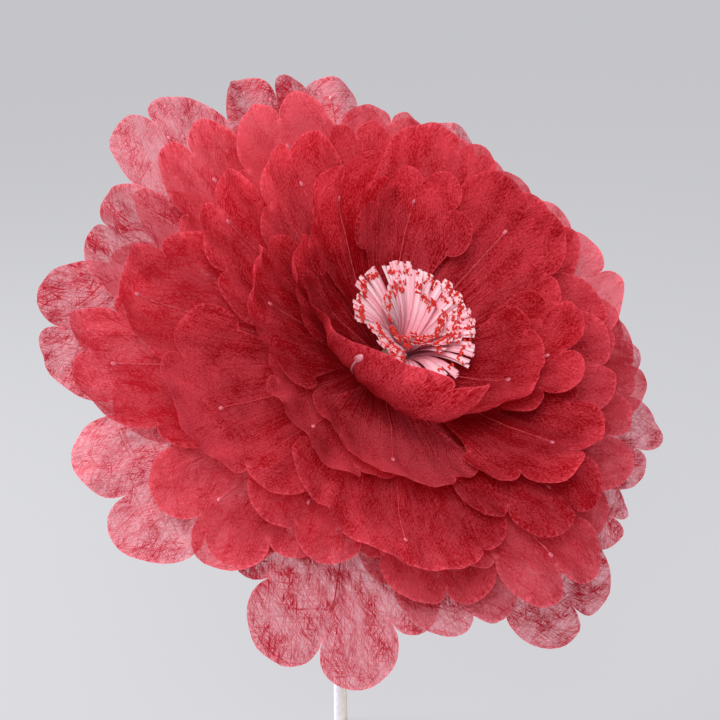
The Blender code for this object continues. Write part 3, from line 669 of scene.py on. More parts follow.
class Bench:
    """Adds nodes to one node tree, and links what they are given."""

    def __init__(self, tree: bpy.types.NodeTree) -> None:
        """Keep the tree that the nodes go to."""
        self.tree = tree

    def node(self, kind: str, **settings: object) -> bpy.types.Node:
        """Add a node and set its own settings.

        Args:
            kind: The node's type.
            settings: Its own settings, which aren't sockets.

        Returns:
            The new node.
        """
        made = self.tree.nodes.new(kind)
        for name, value in settings.items():
            setattr(made, name, value)
        return made

    def put(self, socket: bpy.types.NodeSocket, value: object) -> None:
        """Link a socket to another one, or give it a plain value.

        Args:
            socket: The input.
            value: An output socket or a value, or None to leave the input as it is.
        """
        if isinstance(value, bpy.types.NodeSocket):
            self.tree.links.new(value, socket)
        elif value is not None:
            socket.default_value = value

    def fill(self, made: bpy.types.Node, **values: object) -> bpy.types.Node:
        """Fill a node's inputs by name, where _ stands for a space.

        Args:
            made: The node.
            values: A value or a socket for each input.

        Returns:
            The same node.
        """
        for name, value in values.items():
            self.put(made.inputs[name.replace("_", " ")], value)
        return made

    def math(
        self, operation: str, first: object, second: object = None, third: object = None
    ) -> bpy.types.NodeSocket:
        """Return the result of one sum.

        Args:
            operation: Name of the sum, as the Math node has it.
            first: Its first value or socket.
            second: Its second one, where it has one.
            third: Its third one, where it has one.

        Returns:
            The output socket.
        """
        made = self.node("ShaderNodeMath", operation=operation)
        for socket, value in zip(made.inputs, (first, second, third)):
            self.put(socket, value)
        return made.outputs[0]

    def vector(self, **parts: object) -> bpy.types.NodeSocket:
        """Return a vector made of the X, Y and Z that are given."""
        return self.fill(self.node("ShaderNodeCombineXYZ"), **parts).outputs[0]

    def turn(self, **parts: object) -> bpy.types.NodeSocket:
        """Return the rotation that some angles make.

        Args:
            parts: The angles X, Y and Z in radians, where they aren't 0.

        Returns:
            The output socket.
        """
        made = self.node("FunctionNodeEulerToRotation")
        self.put(made.inputs[0], self.vector(**parts))
        return made.outputs[0]

    def blend(self, share: object, first: bpy.types.Node, second: bpy.types.Node) -> bpy.types.Node:
        """Mix two shaders.

        Args:
            share: How much of the second one is seen, from 0 to 1.
            first: Node whose first output is a shader.
            second: Another one.

        Returns:
            The mixing node.
        """
        made = self.node("ShaderNodeMixShader")
        for socket, value in zip(made.inputs, (share, first.outputs[0], second.outputs[0])):
            self.put(socket, value)
        return made

    def clamp(self, value: object) -> bpy.types.NodeSocket:
        """Return a value kept from 0 to 1.

        Args:
            value: The value.

        Returns:
            The output socket.
        """
        made = self.node("ShaderNodeClamp")
        self.put(made.inputs["Value"], value)
        return made.outputs[0]

    def span(self, value: object, low: float, high: float) -> bpy.types.NodeSocket:
        """Return 0 below low and 1 above high, with a soft step between them.

        Args:
            value: What is measured.
            low: Where the step starts.
            high: Where it ends.

        Returns:
            The output socket.
        """
        made = self.node("ShaderNodeMapRange", interpolation_type="SMOOTHSTEP")
        self.fill(made, Value=value, From_Min=low, From_Max=high)
        return made.outputs[0]

    def mix(self, share: object, first: object, second: object) -> bpy.types.NodeSocket:
        """Return a blend of two colours.

        Args:
            share: How much of the second colour is seen.
            first: A colour, or its socket.
            second: Another one.

        Returns:
            The output socket.
        """
        made = self.node("ShaderNodeMix", data_type="RGBA")
        self.put(made.inputs["Factor"], share)
        self.put(made.inputs[6], (*first, 1.0) if isinstance(first, tuple) else first)
        self.put(made.inputs[7], (*second, 1.0) if isinstance(second, tuple) else second)
        return made.outputs[2]

    def cloud(self, vector: object, scale: float, detail: float = 2.0) -> bpy.types.NodeSocket:
        """Return the value of a noise pattern.

        Args:
            vector: Where the pattern is read.
            scale: How fine it is.
            detail: How many finer layers it has.

        Returns:
            The output socket.
        """
        made = self.node("ShaderNodeTexNoise")
        self.fill(made, Vector=vector, Scale=scale, Detail=detail)
        return made.outputs[0]

    def stretched(self, vector: object, turn: float, scale: tuple) -> bpy.types.NodeSocket:
        """Return a vector turned by degrees in its plane and then scaled.

        Args:
            vector: What is turned.
            turn: The angle in degrees.
            scale: Size of the pattern each way, after the turn.

        Returns:
            The output socket.
        """
        made = self.node("ShaderNodeMapping", vector_type="TEXTURE")
        made.inputs["Rotation"].default_value = (0.0, 0.0, math.radians(turn))
        made.inputs["Scale"].default_value = scale
        self.put(made.inputs["Vector"], vector)
        return made.outputs[0]

    def group(self, group: bpy.types.NodeTree) -> bpy.types.Node:
        """Place a node group in the tree.

        Args:
            group: The group.

        Returns:
            The new node.
        """
        made = self.node(GROUP_NODES[self.tree.bl_idname])
        made.node_tree = group
        return made

    def attribute(self, name: str) -> bpy.types.NodeSocket:
        """Return a number that the mesh holds under a name."""
        return self.node("ShaderNodeAttribute", attribute_name=name).outputs["Fac"]

    def bump(self, height: object, distance: float, strength: float) -> bpy.types.NodeSocket:
        """Return a normal that follows a height pattern.

        Args:
            height: The height pattern.
            distance: Height in metres of its full range.
            strength: How much of it is seen.

        Returns:
            The normal's socket.
        """
        made = self.node("ShaderNodeBump")
        return self.fill(made, Height=height, Distance=distance, Strength=strength).outputs[0]

    def spread(
        self, low: object, high: object, seed: object, number: int, each: object = None
    ) -> bpy.types.NodeSocket:
        """Return a random number for each point or other number, from low to high.

        Args:
            low: The lowest value.
            high: The highest value.
            seed: The tree's own seed.
            number: What is added to the seed for this one draw.
            each: What the number is drawn for, where that isn't the point.

        Returns:
            The output socket.
        """
        made = self.node("FunctionNodeRandomValue", data_type="FLOAT")
        self.put(made.inputs["ID"], each)
        self.put(made.inputs[2], low)
        self.put(made.inputs[3], high)
        self.put(made.inputs["Seed"], self.math("ADD", seed, float(number)))
        return made.outputs[1]

    def store(
        self, geometry: object, name: str, value: object, domain: str = "POINT"
    ) -> bpy.types.NodeSocket:
        """Store a number under a name on each point or instance.

        Args:
            geometry: What the number is stored on.
            name: The name.
            value: The number.
            domain: Points or instances.

        Returns:
            The geometry that holds it.
        """
        made = self.node("GeometryNodeStoreNamedAttribute", data_type="FLOAT", domain=domain)
        return self.fill(made, Geometry=geometry, Name=name, Value=value).outputs[0]


def new_group(name: str, kind: str, inputs: tuple, outputs: tuple) -> bpy.types.NodeTree:
    """Return a node group with its sockets.

    Args:
        name: Name of the group.
        kind: Type of node tree.
        inputs: Triples of a socket's name, type and default value.
        outputs: Pairs of a socket's name and type.

    Returns:
        The group, without nodes.
    """
    group = bpy.data.node_groups.new(name, kind)
    for label, socket_type, value in inputs:
        socket = group.interface.new_socket(label, in_out="INPUT", socket_type=socket_type)
        if value is not None:
            socket.default_value = value
    for label, socket_type in outputs:
        group.interface.new_socket(label, in_out="OUTPUT", socket_type=socket_type)
    return group


def fibre_group() -> bpy.types.NodeTree:
    """Return the pattern of long-fibre paper: fine strands, single long fibres and dense clouds.

    Returns:
        A group that reads flat paper coordinates in metres. It puts out masks of the long fibres,
        of the fine strands and of the clouds, and the height of the strands.
    """
    ready = bpy.data.node_groups.get("long_fibres")
    if ready:
        return ready
    names = ("Fibres", "Strands", "Clouds", "Height")
    group = new_group(
        "long_fibres",
        "ShaderNodeTree",
        (("Vector", "NodeSocketVector", None), ("Thickness", "NodeSocketFloat", THREAD_WIDTH)),
        tuple((name, "NodeSocketFloat") for name in names),
    )
    bench = Bench(group)
    given = bench.node("NodeGroupInput")
    warp = bench.node("ShaderNodeTexNoise")
    bench.fill(warp, Vector=given.outputs["Vector"], Scale=WARP_SCALE, Detail=1.0)
    shift = bench.node("ShaderNodeVectorMath", operation="MULTIPLY_ADD")
    terms = (warp.outputs["Color"], WARP_REACH, given.outputs["Vector"])
    for socket, value in zip(shift.inputs, terms):
        bench.put(socket, value)
    place = shift.outputs[0]
    total = None
    for turn, wide, long in LONG_FIBRES:
        lines = bench.cloud(bench.stretched(place, turn, (wide, long, 1.0)), 1.0, 1.0)
        off = bench.math("ABSOLUTE", bench.math("SUBTRACT", lines, 0.5))
        off = bench.clamp(bench.math("DIVIDE", off, given.outputs["Thickness"]))
        thread = bench.math("SUBTRACT", 1.0, off)
        total = thread if total is None else bench.math("MAXIMUM", total, thread)
    tangle = None
    for turn, wide, long in STRANDS:
        strand = bench.cloud(bench.stretched(place, turn, (wide, long, 1.0)), 1.0, 1.0)
        tangle = strand if tangle is None else bench.math("ADD", tangle, strand)
    clouds = bench.cloud(bench.stretched(place, CLOUD_TURN, CLOUD_SIZE), 1.0, CLOUD_DETAIL)
    bench.fill(
        bench.node("NodeGroupOutput"),
        Fibres=total,
        Strands=bench.span(tangle, *STRAND_SPAN),
        Clouds=bench.span(clouds, *CLOUD_SPAN),
        Height=tangle,
    )
    return group


def new_material(
    name: str,
) -> tuple[bpy.types.Material, Bench, bpy.types.Node, bpy.types.Node]:
    """Return a new material, a bench for its tree, its Principled shader and its output.

    Args:
        name: Name of the material.

    Returns:
        The four, in that order.
    """
    material = bpy.data.materials.new(name)
    material.use_nodes = True
    nodes = material.node_tree.nodes
    return material, Bench(material.node_tree), nodes["Principled BSDF"], nodes["Material Output"]


@dataclass(frozen=True)
class Blend:
    """A base value, and what long fibres, fine strands, clouds and the cut edge add to it."""

    base: float
    fibres: float
    strands: float
    clouds: float
    edge: float

    def summed(
        self, bench: Bench, pattern: bpy.types.Node, edge: object
    ) -> bpy.types.NodeSocket:
        """Return the whole sum as a socket.

        Args:
            bench: The bench of the material's tree.
            pattern: The paper's pattern.
            edge: 1 at the cut edge, and 0 inside.

        Returns:
            The sum, which may pass 0 or 1.
        """
        total = bench.math("MULTIPLY_ADD", pattern.outputs["Fibres"], self.fibres, self.base)
        total = bench.math("MULTIPLY_ADD", pattern.outputs["Strands"], self.strands, total)
        total = bench.math("MULTIPLY_ADD", pattern.outputs["Clouds"], self.clouds, total)
        return bench.math("MULTIPLY_ADD", edge, self.edge, total)


@dataclass(frozen=True)
class PaperFinish:
    """Long-fibre petal paper: its colours, its fibres, and how much shines through it.

    Tone goes from 0, pale, to 1, deep. Cover goes from 0, clear, to 1, dense.
    """

    name: str
    pale: Colour
    deep: Colour
    tint: Colour
    tone: Blend
    cover: Blend
    glow: float
    relief: float
    crepe: float
    # Painted shade towards the petal's foot
    foot_painted_shade: float
    # Painted light and shade along the pleats and their ridges, and the pleats' bump height
    pleat_painted_light_and_relief: float

    def material(self) -> bpy.types.Material:
        """Return the material that paper with this finish wears.

        Returns:
            A new material with all its nodes.
        """
        material, bench, shader, output = new_material(self.name)
        cut = bench.node("ShaderNodeUVMap", uv_map="cut").outputs[0]
        pattern = bench.group(fibre_group())
        bench.fill(pattern, Vector=cut, Thickness=THREAD_WIDTH)
        edge, along, fan = (bench.attribute(name) for name in ("edge", "along", "fan"))
        foot = bench.math("SUBTRACT", 1.0, bench.span(along, 0.0, FOOT_END))
        crepe = bench.cloud(bench.stretched(cut, 0.0, CREPE_SIZE), 1.0, 1.0)
        pleats = bench.math("SUBTRACT", bench.cloud(fan, 1.0, 2.0), 0.5)
        folds = bench.math("MULTIPLY", pleats, foot)
        tone = self.tone.summed(bench, pattern, edge)
        tone = self.shaded(bench, tone, foot, pleats, folds)
        dye = bench.math("SUBTRACT", bench.cloud(cut, DYE_SCALE, 0.0), 0.5)
        tone = bench.math("MULTIPLY_ADD", dye, DYE_SPREAD, tone)
        # Painted shade: the crepe's small bumps also darken and lighten the colour.
        grain = bench.math("SUBTRACT", crepe, 0.5)
        tone = bench.math("MULTIPLY_ADD", grain, CREPE_PAINTED_SHADE * self.crepe, tone)
        colour = bench.mix(bench.clamp(tone), self.pale, self.deep)
        height = bench.math("MULTIPLY_ADD", crepe, self.crepe, pattern.outputs["Height"])
        height = bench.math("MULTIPLY_ADD", folds, FOLD_HEIGHT * self.pleat_painted_light_and_relief, height)
        normal = bench.bump(height, self.relief, PAPER_BUMP)
        bench.fill(shader, Base_Color=colour, Roughness=PAPER_ROUGHNESS, Normal=normal)
        shader.inputs["Specular IOR Level"].default_value = PAPER_SPECULAR
        through = bench.fill(bench.node("ShaderNodeBsdfTranslucent"), Color=colour, Normal=normal)
        clear = bench.fill(bench.node("ShaderNodeBsdfTransparent"), Color=(*self.tint, 1.0))
        cover = bench.clamp(self.cover.summed(bench, pattern, edge))
        whole = bench.blend(cover, clear, bench.blend(self.glow, shader, through))
        bench.put(output.inputs["Surface"], whole.outputs[0])
        return material

    def shaded(
        self, bench: Bench, tone: object, foot: object, pleats: object, folds: object
    ) -> bpy.types.NodeSocket:
        """Add painted shade towards the petal's foot, painted light and shade along the pleats, and
        painted highlights on their ridges.

        Args:
            bench: The bench of the material's tree.
            tone: The paper's tone so far.
            foot: 1 at the petal's foot, and 0 near its crown.
            pleats: Pattern of the pleats, about 0.
            folds: The same, which fades out to the crown.

        Returns:
            The new tone.
        """
        # Painted shade: the paper darkens towards the petal's foot.
        tone = bench.math("MULTIPLY_ADD", foot, self.foot_painted_shade, tone)
        # Painted light and shade along the pleats, fading out to the crown.
        tone = bench.math("MULTIPLY_ADD", folds, self.pleat_painted_light_and_relief, tone)
        # Painted highlights: pale lines along the pleat ridges.
        off = bench.math("DIVIDE", bench.math("ABSOLUTE", pleats), CREASE_WIDTH)
        painted_ridge_highlight = bench.math("MULTIPLY", bench.math("SUBTRACT", 1.0, bench.clamp(off)), foot)
        return bench.math("MULTIPLY_ADD", painted_ridge_highlight, PAINTED_RIDGE_HIGHLIGHT * self.pleat_painted_light_and_relief, tone)


@dataclass(frozen=True)
class SpeckledFinish:
    """A plain matt or glossy finish with fine mottling: papered wire, glue, card, tape, grains."""

    name: str
    light: Colour
    dark: Colour
    scale: float
    roughness: float
    bump: float = 0.0002
    glow: float = 0.0

    def material(self) -> bpy.types.Material:
        """Return the material that a piece with this finish wears.

        Returns:
            A new material with all its nodes.
        """
        material, bench, shader, output = new_material(self.name)
        place = bench.node("ShaderNodeTexCoord").outputs["Object"]
        mottle = bench.cloud(place, self.scale, 3.0)
        fine = bench.cloud(place, self.scale * FINE_SCALE, 2.0)
        tone = bench.math("MULTIPLY", fine, FINE_SHARE)
        tone = bench.math("MULTIPLY_ADD", mottle, MOTTLE_SHARE, tone)
        colour = bench.mix(bench.span(tone, *MOTTLE_SPAN), self.light, self.dark)
        normal = bench.bump(fine, self.bump, MOTTLE_BUMP)
        low = self.roughness - 0.5 * ROUGH_SPREAD
        rough = bench.math("MULTIPLY_ADD", mottle, ROUGH_SPREAD, low)
        bench.fill(shader, Base_Color=colour, Roughness=rough, Normal=normal)
        if self.glow:
            through = bench.fill(bench.node("ShaderNodeBsdfTranslucent"), Color=colour, Normal=normal)
            both = bench.blend(self.glow, shader, through)
            bench.put(output.inputs["Surface"], both.outputs[0])
        return material


@dataclass(frozen=True)
class StripFinish:
    """Paper of the fringe: pink near the roll, and paler to the cut ends."""

    name: str
    root: Colour
    end: Colour
    crease: Colour

    def material(self) -> bpy.types.Material:
        """Return the material that the fringe's strips wear.

        Returns:
            A new material with all its nodes.
        """
        material, bench, shader, output = new_material(self.name)
        along, tone = (bench.attribute(name) for name in ("along", "tone"))
        place = bench.node("ShaderNodeTexCoord").outputs["Object"]
        fine = bench.cloud(place, STRIP_GRAIN, 3.0)
        colour = bench.mix(bench.span(along, *STRIP_PALE), self.root, self.end)
        shade = bench.math("MULTIPLY_ADD", tone, STRIP_TONE, bench.math("MULTIPLY", fine, STRIP_FINE))
        colour = bench.mix(bench.span(shade, *STRIP_SHADE), colour, self.crease)
        normal = bench.bump(fine, STRIP_RELIEF, SOFT_BUMP)
        bench.fill(shader, Base_Color=colour, Roughness=STRIP_ROUGHNESS, Normal=normal)
        through = bench.fill(bench.node("ShaderNodeBsdfTranslucent"), Color=colour, Normal=normal)
        both = bench.blend(STRIP_GLOW, shader, through)
        clear = bench.fill(bench.node("ShaderNodeBsdfTransparent"), Color=(*self.root, 1.0))
        shadow = bench.node("ShaderNodeLightPath").outputs["Is Shadow Ray"]
        whole = bench.blend(bench.math("MULTIPLY", shadow, STRIP_SHADOW), both, clear)
        bench.put(output.inputs["Surface"], whole.outputs[0])
        return material


@dataclass(frozen=True)
class WoodFinish:
    """Bare dowel with a fine straight grain along its length."""

    name: str
    light: Colour
    dark: Colour

    def material(self) -> bpy.types.Material:
        """Return the material that the dowel wears.

        Returns:
            A new material with all its nodes.
        """
        material, bench, shader, _ = new_material(self.name)
        place = bench.node("ShaderNodeTexCoord").outputs["Object"]
        grain = bench.cloud(bench.stretched(place, 0.0, WOOD_GRAIN), 1.0, 4.0)
        colour = bench.mix(bench.span(grain, *WOOD_SPAN), self.light, self.dark)
        normal = bench.bump(grain, WOOD_RELIEF, SOFT_BUMP)
        bench.fill(shader, Base_Color=colour, Roughness=WOOD_ROUGHNESS, Normal=normal)
        return material


def set_input(modifier: bpy.types.NodesModifier, label: str, value: object) -> None:
    """Set a Geometry Nodes input by the identifier of the socket with that label.

    Args:
        modifier: The modifier.
        label: The input's name.
        value: Its value.
    """
    for item in modifier.node_group.interface.items_tree:
        if item.item_type == "SOCKET" and item.in_out == "INPUT" and item.name == label:
            modifier[item.identifier] = value
            return
    raise KeyError(label)


def grown(
    name: str, seed_mesh: bpy.types.Mesh, tree: bpy.types.NodeTree, place: Matrix, **values: object
) -> bpy.types.Object:
    """Run a Geometry Nodes tree and return its result as a plain object.

    Args:
        name: Name of the new piece.
        seed_mesh: Mesh that the tree starts from.
        tree: The Geometry Nodes tree.
        place: Where the tree's own axes lie in the frame.
        values: The tree's inputs by name, where _ stands for a space.

    Returns:
        The piece, at the origin, with its place in its mesh.
    """
    start = make_object(name + "_start", seed_mesh)
    modifier = start.modifiers.new("grow", "NODES")
    modifier.node_group = tree
    for label, value in values.items():
        set_input(modifier, label.replace("_", " "), value)
    graph = bpy.context.evaluated_depsgraph_get()
    mesh = bpy.data.meshes.new_from_object(start.evaluated_get(graph), depsgraph=graph)
    bpy.data.objects.remove(start, do_unlink=True)
    mesh.name = name
    mesh.transform(place)
    return make_object(name, mesh)


def tube_tree() -> bpy.types.NodeTree:
    """Return a tree that lays a round tube with closed ends along a line of points.

    Returns:
        The tree, which has the tube's radius, its sides and its finish as inputs.
    """
    ready = bpy.data.node_groups.get("papered_wire")
    if ready:
        return ready
    tree = new_group(
        "papered_wire",
        "GeometryNodeTree",
        (
            ("Geometry", "NodeSocketGeometry", None),
            ("Radius", "NodeSocketFloat", WIRE_RADIUS),
            ("Sides", "NodeSocketInt", WIRE_SIDES),
            ("Finish", "NodeSocketMaterial", None),
        ),
        (("Geometry", "NodeSocketGeometry"),),
    )
    bench = Bench(tree)
    given = bench.node("NodeGroupInput")
    line = bench.node("GeometryNodeMeshToCurve")
    bench.put(line.inputs["Mesh"], given.outputs["Geometry"])
    ring = bench.node("GeometryNodeCurvePrimitiveCircle")
    bench.fill(ring, Resolution=given.outputs["Sides"], Radius=given.outputs["Radius"])
    tube = bench.node("GeometryNodeCurveToMesh")
    bench.fill(tube, Curve=line.outputs[0], Profile_Curve=ring.outputs[0], Fill_Caps=True)
    real = bench.node("GeometryNodeRealizeInstances")
    bench.put(real.inputs[0], tube.outputs[0])
    dress = bench.node("GeometryNodeSetMaterial")
    bench.fill(dress, Geometry=real.outputs[0], Material=given.outputs["Finish"])
    bench.put(bench.node("NodeGroupOutput").inputs[0], dress.outputs[0])
    return tree


FRINGE_INPUTS = (
    ("Geometry", "NodeSocketGeometry", None),
    ("Bundles", "NodeSocketInt", 12),
    ("Strips", "NodeSocketInt", 9),
    ("Roll Radius", "NodeSocketFloat", 0.006),
    ("Foot", "NodeSocketFloat", 0.058),
    ("Length", "NodeSocketFloat", 0.085),
    ("Width", "NodeSocketFloat", 0.003),
    ("Bend", "NodeSocketFloat", 0.8),
    ("Least Splay", "NodeSocketFloat", 0.0),
    ("Most Splay", "NodeSocketFloat", 0.5),
    ("Drift", "NodeSocketVector", None),
    ("Seed", "NodeSocketInt", 1),
    ("Finish", "NodeSocketMaterial", None),
)
PLACE_INPUTS = ("Bundles", "Strips", "Roll Radius", "Foot", "Least Splay", "Most Splay", "Seed")


def places_group() -> bpy.types.NodeTree:
    """Return the places of a fringe's strips, in bundles round the roll.

    Returns:
        A group that puts out points, a turn and a size for each, and a number that the strips of
        one bundle share.
    """
    ready = bpy.data.node_groups.get("strip_places")
    if ready:
        return ready
    inputs = tuple(item for item in FRINGE_INPUTS if item[0] in PLACE_INPUTS)
    outputs = (
        ("Points", "NodeSocketGeometry"),
        ("Rotation", "NodeSocketRotation"),
        ("Scale", "NodeSocketFloat"),
        ("Bundle", "NodeSocketFloat"),
    )
    group = new_group("strip_places", "GeometryNodeTree", inputs, outputs)
    bench = Bench(group)
    given = bench.node("NodeGroupInput").outputs
    seed = given["Seed"]
    index = bench.node("GeometryNodeInputIndex").outputs[0]
    slot = bench.math("DIVIDE", bench.math("ADD", index, 0.5), given["Strips"])
    bundle = bench.math("FLOOR", slot)
    within = bench.math("SUBTRACT", bench.math("SUBTRACT", slot, bundle), 0.5)
    stray = bench.spread(-STRIP_SHIFT, STRIP_SHIFT, seed, 1)
    within = bench.math("MULTIPLY_ADD", within, BUNDLE_SHARE, stray)
    stray = bench.spread(-BUNDLE_SHIFT, BUNDLE_SHIFT, seed, 6, bundle)
    middle = bench.math("ADD", bench.math("ADD", bundle, 0.5), stray)
    share = bench.math("DIVIDE", bench.math("ADD", middle, within), given["Bundles"])
    angle = bench.math("MULTIPLY", share, 2.0 * math.pi)
    place = bench.vector(
        X=bench.math("MULTIPLY", bench.math("COSINE", angle), given["Roll Radius"]),
        Y=bench.math("MULTIPLY", bench.math("SINE", angle), given["Roll Radius"]),
        Z=given["Foot"],
    )
    points = bench.node("GeometryNodePoints")
    count = bench.math("MULTIPLY", given["Bundles"], given["Strips"])
    bench.fill(points, Count=count, Position=place)
    splay = bench.spread(given["Least Splay"], given["Most Splay"], seed, 2, bundle)
    tilt = bench.spread(-STRIP_TILT, STRIP_TILT, seed, 3)
    stray = bench.spread(-SPLAY_SHIFT, SPLAY_SHIFT, seed, 7)
    twist = bench.spread(-STRIP_TWIST, STRIP_TWIST, seed, 4)
    both = bench.node("FunctionNodeRotateRotation", rotation_space="LOCAL")
    bench.put(both.inputs[0], bench.turn(X=tilt, Y=bench.math("ADD", splay, stray), Z=angle))
    bench.put(both.inputs[1], bench.turn(Z=twist))
    size = bench.spread(*BUNDLE_SIZE, seed, 5, bundle)
    bench.fill(
        bench.node("NodeGroupOutput"),
        Points=points.outputs[0],
        Rotation=both.outputs[0],
        Scale=bench.math("ADD", size, bench.spread(*STRIP_SIZE, seed, 8)),
        Bundle=bench.spread(0.0, 1.0, seed, 9, bundle),
    )
    return group


def place_strips(bench: Bench, given: bpy.types.Node) -> bpy.types.Node:
    """Put the group of strip places into a fringe tree, with the tree's own inputs.

    Args:
        bench: The bench of the fringe's tree.
        given: The tree's inputs.

    Returns:
        The group's node.
    """
    made = bench.group(places_group())
    for socket in made.inputs:
        bench.put(socket, given.outputs[socket.name])
    return made


def bent_end(bench: Bench, given: bpy.types.Node, share: float) -> tuple:
    """Return how far out and how high a strip's arc is at a share of its length.

    Args:
        bench: The bench of the fringe's tree.
        given: The tree's inputs.
        share: Share of the strip's length.

    Returns:
        The two sockets.
    """
    turn = bench.math("MULTIPLY", given.outputs["Bend"], share)
    arm = bench.math("DIVIDE", given.outputs["Length"], given.outputs["Bend"])
    out = bench.math("MULTIPLY", arm, bench.math("SUBTRACT", 1.0, bench.math("COSINE", turn)))
    return out, bench.math("MULTIPLY", arm, bench.math("SINE", turn))


def strip_line(bench: Bench, given: bpy.types.Node) -> bpy.types.Node:
    """Add the middle line of one strip, an arc that starts upright and bends outwards.

    Args:
        bench: The bench of the fringe's tree.
        given: The tree's inputs.

    Returns:
        The curve's node.
    """
    line = bench.node("GeometryNodeCurveQuadraticBezier")
    line.inputs["Resolution"].default_value = STRIP_STEPS
    half = bench.math("TANGENT", bench.math("MULTIPLY", given.outputs["Bend"], 0.5))
    arm = bench.math("DIVIDE", given.outputs["Length"], given.outputs["Bend"])
    out, high = bent_end(bench, given, 1.0)
    middle = bench.vector(Z=bench.math("MULTIPLY", arm, half))
    return bench.fill(line, Start=(0.0, 0.0, 0.0), Middle=middle, End=bench.vector(X=out, Z=high))


def lean_over(bench: Bench, given: bpy.types.Node, geometry: object) -> bpy.types.NodeSocket:
    """Realize a fringe's copies, lean them all over to one side and dress them.

    Args:
        bench: The bench of the fringe's tree.
        given: The tree's inputs.
        geometry: The copies.

    Returns:
        The finished geometry.
    """
    real = bench.node("GeometryNodeRealizeInstances")
    bench.put(real.inputs[0], geometry)
    apart = bench.node("ShaderNodeSeparateXYZ")
    bench.put(apart.inputs[0], bench.node("GeometryNodeInputPosition").outputs[0])
    rise = bench.math("SUBTRACT", apart.outputs["Z"], given.outputs["Foot"])
    share = bench.math("POWER", bench.clamp(bench.math("DIVIDE", rise, given.outputs["Length"])), 2.0)
    shift = bench.node("ShaderNodeVectorMath", operation="SCALE")
    bench.put(shift.inputs[0], given.outputs["Drift"])
    bench.put(shift.inputs["Scale"], share)
    moved = bench.node("GeometryNodeSetPosition")
    bench.fill(moved, Geometry=real.outputs[0], Offset=shift.outputs[0])
    dress = bench.node("GeometryNodeSetMaterial")
    bench.fill(dress, Geometry=moved.outputs[0], Material=given.outputs["Finish"])
    return dress.outputs[0]


def strips_tree() -> bpy.types.NodeTree:
    """Return a tree that grows the cut strips of one rolled fringe.

    Returns:
        The tree, with the inputs of every fringe.
    """
    outputs = (("Geometry", "NodeSocketGeometry"),)
    tree = new_group("fringe_strips", "GeometryNodeTree", FRINGE_INPUTS, outputs)
    bench = Bench(tree)
    given = bench.node("NodeGroupInput")
    share = bench.node("GeometryNodeSplineParameter").outputs[0]
    marked = bench.store(strip_line(bench, given).outputs[0], "along", share)
    flat = bench.node("GeometryNodeCurvePrimitiveQuadrilateral")
    bench.fill(flat, Width=given.outputs["Width"], Height=STRIP_THICKNESS)
    strip = bench.node("GeometryNodeCurveToMesh")
    bench.fill(strip, Curve=marked, Profile_Curve=flat.outputs[0], Fill_Caps=True)
    places = place_strips(bench, given).outputs
    copies = bench.node("GeometryNodeInstanceOnPoints")
    bench.fill(copies, Instance=strip.outputs[0])
    for label in ("Points", "Rotation", "Scale"):
        bench.put(copies.inputs[label], places[label])
    own = bench.spread(0.0, 1.0, given.outputs["Seed"], 11)
    toned = bench.store(copies.outputs[0], "tone", own, "INSTANCE")
    bench.put(bench.node("NodeGroupOutput").inputs[0], lean_over(bench, given, toned))
    return tree


def grain_cluster(bench: Bench, given: bpy.types.Node, number: int, reach: float) -> bpy.types.Node:
    """Add one kind of cluster: grains scattered round a place near a strip's end.

    Args:
        bench: The bench of the fringe's tree.
        given: The tree's inputs.
        number: Number of the kind, from 0.
        reach: Where its middle is, as a share of the strip's length.

    Returns:
        The node that puts out the cluster.
    """
    grain = bench.node("GeometryNodeMeshIcoSphere")
    bench.fill(grain, Radius=given.outputs["Grain"], Subdivisions=1)
    seed = bench.math("ADD", given.outputs["Seed"], GRAIN_SEED_STEP * (number + 1))
    out, high = bent_end(bench, given, reach)
    half = bench.math("MULTIPLY", given.outputs["Width"], GRAIN_SIDE)
    offset = bench.vector(
        X=bench.math("ADD", out, bench.spread(*GRAIN_OUT, seed, 1)),
        Y=bench.spread(bench.math("MULTIPLY", half, -1.0), half, seed, 2),
        Z=bench.math("ADD", high, bench.spread(*GRAIN_UP, seed, 3)),
    )
    crumbs = bench.node("GeometryNodePoints")
    bench.fill(crumbs, Count=GRAIN_COUNT + number, Position=offset)
    wide, deep = (bench.spread(*GRAIN_STRETCH, seed, draw) for draw in (6, 7))
    pile = bench.node("GeometryNodeInstanceOnPoints")
    bench.fill(
        pile,
        Points=crumbs.outputs[0],
        Instance=grain.outputs[0],
        Rotation=bench.turn(X=bench.spread(0.0, 3.0, seed, 4), Y=bench.spread(0.0, 3.0, seed, 5)),
        Scale=bench.vector(X=wide, Y=deep, Z=GRAIN_FLAT),
    )
    whole = bench.node("GeometryNodeRealizeInstances")
    bench.put(whole.inputs[0], pile.outputs[0])
    return whole


